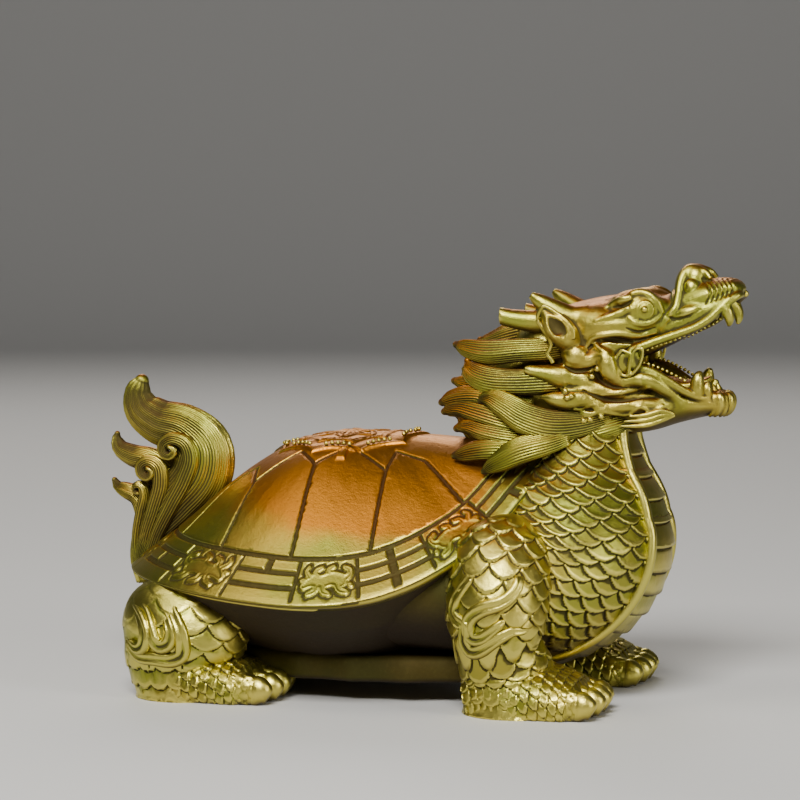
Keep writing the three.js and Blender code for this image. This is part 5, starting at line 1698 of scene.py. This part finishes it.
def made_by_nodes(name, lines, tree, **values):
    """The mesh that a node tree makes of some lines, as a finished piece."""
    path = path_object(name + "_path", lines)
    modifier = path.modifiers.new(name, "NODES")
    modifier.node_group = tree
    values["Material"] = brass()
    for item in tree.interface.items_tree:
        if item.in_out == "INPUT" and item.name in values:
            modifier[item.identifier] = values[item.name]
    mesh = worked_out(path)
    mesh.name = name
    bpy.data.objects.remove(path)
    piece = placed(name, mesh)
    mesh.shade_smooth()
    mark_recess_and_shade(piece)
    return dressed(piece)


def cord_tree():
    """A round cord along each line."""
    tree, start = tree_of("cord", "Radius")
    radius = start.outputs["Radius"]
    circle = fitted(tree, "CurvePrimitiveCircle", {"Resolution": 14, "Radius": radius})
    profile = {"Fill Caps": True, "Profile Curve": circle.outputs["Curve"]}
    return chained(tree, start, fitted(tree, "CurveToMesh", profile))


def bead_tree():
    """Round beads along each line, a pitch apart."""
    tree, start = tree_of("beads", "Radius", "Pitch")
    spread = fitted(tree, "CurveToPoints", {"Length": start.outputs["Pitch"]}, mode="LENGTH")
    radius = start.outputs["Radius"]
    bead = fitted(tree, "MeshIcoSphere", {"Subdivisions": 2, "Radius": radius})
    place = fitted(tree, "InstanceOnPoints", {"Instance": bead.outputs["Mesh"]})
    return chained(tree, start, spread, place)


def cord_lines():
    """The two smooth cords that border the chest's plates."""
    t = np.linspace(0.02, 0.5, 120)
    lines = []
    for side in (-1, 1):
        places = [body_skin(np.array([k]), side * plate_turn(np.array([k])))[0, 0] for k in t]
        lines.append(np.array(places) + np.array([0.6, side * 0.4, -0.2]))
    return lines


# Rows of small teeth in the upper and the lower jaw: x, z and y on SNOUT_PLANE
TOOTH_ROWS = [
    [(61, 92.4, -9.6), (62.8, 93.2, -9.4), (64.4, 93.8, -9.2), (67.7, 94.9, -8.8),
     (71, 96.4, -8.4), (73.5, 97.8, -8), (75.5, 98.6, -7.6), (77.4, 100, -7.2)],
    [(60, 89, -10), (62.3, 88.4, -9.6), (64, 87.8, -9.2), (66, 87, -8.8), (67.5, 86.3, -8.6),
     (69, 85.6, -8.2), (71, 84.6, -7.8)],
]


def tooth_lines():
    lines = []
    for rows in TOOTH_ROWS:
        line = polyline(drawn(rows, SNOUT_PLANE), 60)
        lines += [line, line * np.array([1, -1, 1])]
    return lines


def medallion_bead_lines():
    """Short rows of beads along the medallion's lobes."""
    half_long, half_wide = medallion_halves()
    lines = []
    for lobe in range(10):
        turn = np.radians(np.linspace(36 * lobe + 8, 36 * lobe + 28, 16))
        reach = lobed(0.93, turn)
        x = half_long * reach * np.cos(turn)
        y = half_wide * reach * np.sin(turn)
        out = np.hypot(x / HALF_LENGTH, y / HALF_WIDTH)
        line = dome(out, np.arctan2(y / HALF_WIDTH, x / HALF_LENGTH))
        lines.append(line + 1.1 * UP)
    return lines


# Operators


class DRAGON_OT_shell(bpy.types.Operator):
    """Make the shell with its plates, its band of signs and beasts, and its medallion"""

    bl_idname = "dragon_turtle.shell"
    bl_label = "Shell"

    def execute(self, context):
        finished("shell_dome", dome_forms(), shell_shade)
        finished("shell_band", band_forms(), shell_shade)
        return {"FINISHED"}


class DRAGON_OT_body(bpy.types.Operator):
    """Make the scaled body and the plate under it"""

    bl_idname = "dragon_turtle.body"
    bl_label = "Body"

    def execute(self, context):
        finished("scaled_body", body_forms(), body_shade)
        return {"FINISHED"}


class DRAGON_OT_legs(bpy.types.Operator):
    """Make the four scaled legs with their flames and claws"""

    bl_idname = "dragon_turtle.legs"
    bl_label = "Legs"

    def execute(self, context):
        finished("front_legs", leg_forms(FRONT_LEG))
        finished("hind_legs", leg_forms(HIND_LEG))
        return {"FINISHED"}


class DRAGON_OT_head(bpy.types.Operator):
    """Make the roaring head with its horns, ears and fangs"""

    bl_idname = "dragon_turtle.head"
    bl_label = "Head"

    def execute(self, context):
        finished("dragon_head", head_forms(), face_shade)
        return {"FINISHED"}


class DRAGON_OT_mane(bpy.types.Operator):
    """Make the locks of the mane"""

    bl_idname = "dragon_turtle.mane"
    bl_label = "Mane"

    def execute(self, context):
        finished("mane", mane_forms(), old_patina)
        return {"FINISHED"}


class DRAGON_OT_tail(bpy.types.Operator):
    """Make the flaming tail and its curls"""

    bl_idname = "dragon_turtle.tail"
    bl_label = "Tail"

    def execute(self, context):
        finished("flame_tail", tail_forms(), old_patina)
        return {"FINISHED"}


class DRAGON_OT_cords(bpy.types.Operator):
    """Make the cords of the chest, the rows of teeth and the beads of the medallion"""

    bl_idname = "dragon_turtle.cords"
    bl_label = "Cords and beads"

    def execute(self, context):
        made_by_nodes("chest_cords", cord_lines(), cord_tree(), Radius=settings().cord_radius)
        beads = bead_tree()
        made_by_nodes("teeth", tooth_lines(), beads, Radius=0.5 * MM, Pitch=1.25 * MM)
        lines = medallion_bead_lines()
        made_by_nodes("medallion_beads", lines, beads, Radius=0.6 * MM, Pitch=1.3 * MM)
        return {"FINISHED"}


class DRAGON_OT_stage(bpy.types.Operator):
    """Make the floor, the lights and the camera"""

    bl_idname = "dragon_turtle.stage"
    bl_label = "Stage"

    def execute(self, context):
        floor_and_backdrop()
        lights()
        camera()
        return {"FINISHED"}


# Stage


def floor_and_backdrop():
    """A pale floor that curves up into a pale backdrop."""
    half, rise, radius, back, front = 4.0, 2.6, 0.9, 1.6, 3.0
    profile = [(-front, 0.0)]
    for k in range(13):
        turn = math.pi / 2 * k / 12
        profile.append((back + radius * math.sin(turn), radius * (1 - math.cos(turn))))
    profile.append((back + radius, rise))
    azimuth = settings().camera_azimuth
    c, s = math.cos(azimuth), math.sin(azimuth)
    places = []
    for y, z in profile:
        for x in (-half, half):
            places.append((x * c - y * s, x * s + y * c, z))
    faces = [(2 * k, 2 * k + 1, 2 * k + 3, 2 * k + 2) for k in range(len(profile) - 1)]
    mesh = bpy.data.meshes.new("studio_floor")
    mesh.from_pydata(places, [], faces)
    mesh.shade_smooth()
    floor = placed("studio_floor", mesh)
    tree = Tree("pale_floor")
    tree.surface({"Base Color": (0.62, 0.62, 0.62, 1), "Roughness": 0.7})
    mesh.materials.append(tree.material)


# Name, place, width, height, power in watts and tint of each light. All face the figure's middle.
LIGHTS = [
    ("key", (0.1, -1.0, 0.95), 0.55, 0.45, 24, (1.0, 0.98, 0.93)),
    ("side", (1.2, -0.5, 0.45), 0.35, 0.6, 6, (1.0, 0.97, 0.9)),
    ("top", (-0.5, -0.35, 1.05), 0.6, 0.4, 3, (1.0, 0.93, 0.82)),
    ("back", (-0.4, 1.0, 0.8), 0.6, 0.4, 4, (1.0, 0.95, 0.88)),
]
AIM = (0, 0, 0.05)
# The drawing's x that the camera stands square to
SIGHT_MIDDLE = -7.5


def softbox(name, place, wide, tall, power, hue):
    light = bpy.data.lights.new(name, "AREA")
    light.shape = "RECTANGLE"
    light.size = wide
    light.size_y = tall
    light.energy = power
    light.color = hue
    lamp = placed(name, light)
    lamp.location = place
    ray = [b - a for a, b in zip(place, AIM)]
    level = math.hypot(ray[0], ray[1])
    lamp.rotation_euler = (math.atan2(level, -ray[2]), 0, math.atan2(ray[1], ray[0]) - math.pi / 2)


def lights():
    for row in LIGHTS:
        softbox(*row)
    world = bpy.data.worlds.new("studio")
    world.use_nodes = True
    background = world.node_tree.nodes["Background"]
    background.inputs["Color"].default_value = (0.5, 0.5, 0.52, 1)
    background.inputs["Strength"].default_value = 0.06
    bpy.context.scene.world = world


def camera():
    look = settings()
    lens = bpy.data.cameras.new("camera")
    lens.lens = look.camera_lens
    lens.sensor_width = 36
    lens.clip_start = 0.01
    eye = placed("camera", lens)
    aside = (DRAWING_SHIFT + SIGHT_MIDDLE) * MM
    azimuth, distance = look.camera_azimuth, look.camera_distance
    ahead = aside + distance * math.sin(azimuth)
    eye.location = ahead, -distance * math.cos(azimuth), look.camera_height
    eye.rotation_euler = (math.pi / 2 - look.camera_pitch, 0, azimuth)
    bpy.context.scene.camera = eye


# Settings and panel


def amount(name, description, default, **more):
    return bpy.props.FloatProperty(name=name, description=description, default=default, **more)


def length(name, description, default):
    return amount(name, description, default, unit="LENGTH", precision=4)


def tint(name, description, default):
    return bpy.props.FloatVectorProperty(
        name=name, description=description, default=default, subtype="COLOR", min=0, max=1
    )


class DragonTurtleSettings(bpy.types.PropertyGroup):
    """Sizes and colours of the dragon turtle and its stage"""

    medallion_length: length("Medallion length", "Along the shell", 0.044)
    medallion_width: length("Medallion width", "Across the shell", 0.030)
    groove_width: length("Groove width", "Lines that part the plates", 0.0009)
    groove_depth: length("Groove depth", "Lines that part the plates", 0.0006)
    scale_length: length("Chest scales", "Length of one row of scales", 0.0027)
    leg_scale: length("Leg scales", "Length of one row of scales", 0.0029)
    leg_scale_width: length("Leg scales across", "Width of one scale", 0.0074)
    strand_pitch: length("Strands", "Width of one strand of the mane and tail", 0.00072)
    cord_radius: length("Chest cord", "Radius of the cords beside the chest plates", 0.0015)
    head_cell: length("Head detail", "Finest step of the head's surface", 0.00028)
    recess_spread: bpy.props.IntProperty(
        name="Recess spread", description="Steps that recesses are felt over", default=10, min=1
    )
    olive: tint("Olive brass", "Greener patches of the metal", colour("989a3a"))
    gold: tint("Gold brass", "Yellower patches of the metal", colour("b4a142"))
    # The coppery tint is a painted reflection of light from above, the bright edge tint is rubbed
    # metal and painted highlight, umber is painted shade, and the dark tint is the metal's oxide
    # and painted shade
    copper_reflection: tint("Copper", "Warm faces that look up", colour("be6606"))
    polished_sheen: tint("Polished", "Worn edges", colour("eadb6c"))
    umber: tint("Umber", "Dark faces in hollows and below", colour("3a240a"))
    patina_and_shade_tint: tint("Patina", "Dirt in the recesses", colour("20140a"))
    # Share of the dark tint, oxide and painted shade, in the recesses
    patina_and_shade_share: amount("Patina share", "How full the recesses are", 0.85, min=0, max=1)
    recess_full: amount("Recess depth", "Depth in squares that is fully dark", 0.14)
    # Warmth and its range set how much painted reflection lies on faces that look up
    warmth: amount("Warmth", "Share of copper where the figure looks up", 0.75)
    warm_from: amount("Warm from", "Rise of the surface where copper begins", 0.75)
    warm_full: amount("Warm full", "Rise of the surface where copper is full", 1.2)
    camera_azimuth: amount("Azimuth", "Turn to the head", math.radians(16.5), subtype="ANGLE")
    camera_pitch: amount("Pitch", "Tilt down", math.radians(4.14), subtype="ANGLE")
    camera_lens: amount("Lens", "Focal length in millimetres", 143.685)
    camera_distance: length("Distance", "From the figure's axis", 0.85)
    camera_height: length("Height", "Above the floor", 0.139)


OPERATORS = (
    DRAGON_OT_shell,
    DRAGON_OT_body,
    DRAGON_OT_legs,
    DRAGON_OT_head,
    DRAGON_OT_mane,
    DRAGON_OT_tail,
    DRAGON_OT_cords,
    DRAGON_OT_stage,
)


class DRAGON_PT_panel(bpy.types.Panel):
    """Makes the pieces of the dragon turtle"""

    bl_idname = "DRAGON_PT_panel"
    bl_label = "Dragon turtle"
    bl_space_type = "VIEW_3D"
    bl_region_type = "UI"
    bl_category = "Dragon turtle"

    def draw(self, context):
        for operator in OPERATORS:
            self.layout.operator(operator.bl_idname)
        for name in DragonTurtleSettings.__annotations__:
            self.layout.prop(context.scene.dragon_turtle, name)


CLASSES = (DragonTurtleSettings, *OPERATORS, DRAGON_PT_panel)


def register():
    for kind in CLASSES:
        bpy.utils.register_class(kind)
    bpy.types.Scene.dragon_turtle = bpy.props.PointerProperty(type=DragonTurtleSettings)


def unregister():
    del bpy.types.Scene.dragon_turtle
    for kind in reversed(CLASSES):
        bpy.utils.unregister_class(kind)


def main():
    register()
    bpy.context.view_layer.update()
    for operator in OPERATORS:
        prefix, name = operator.bl_idname.split(".")
        getattr(getattr(bpy.ops, prefix), name)()


if __name__ == "__main__":
    main()
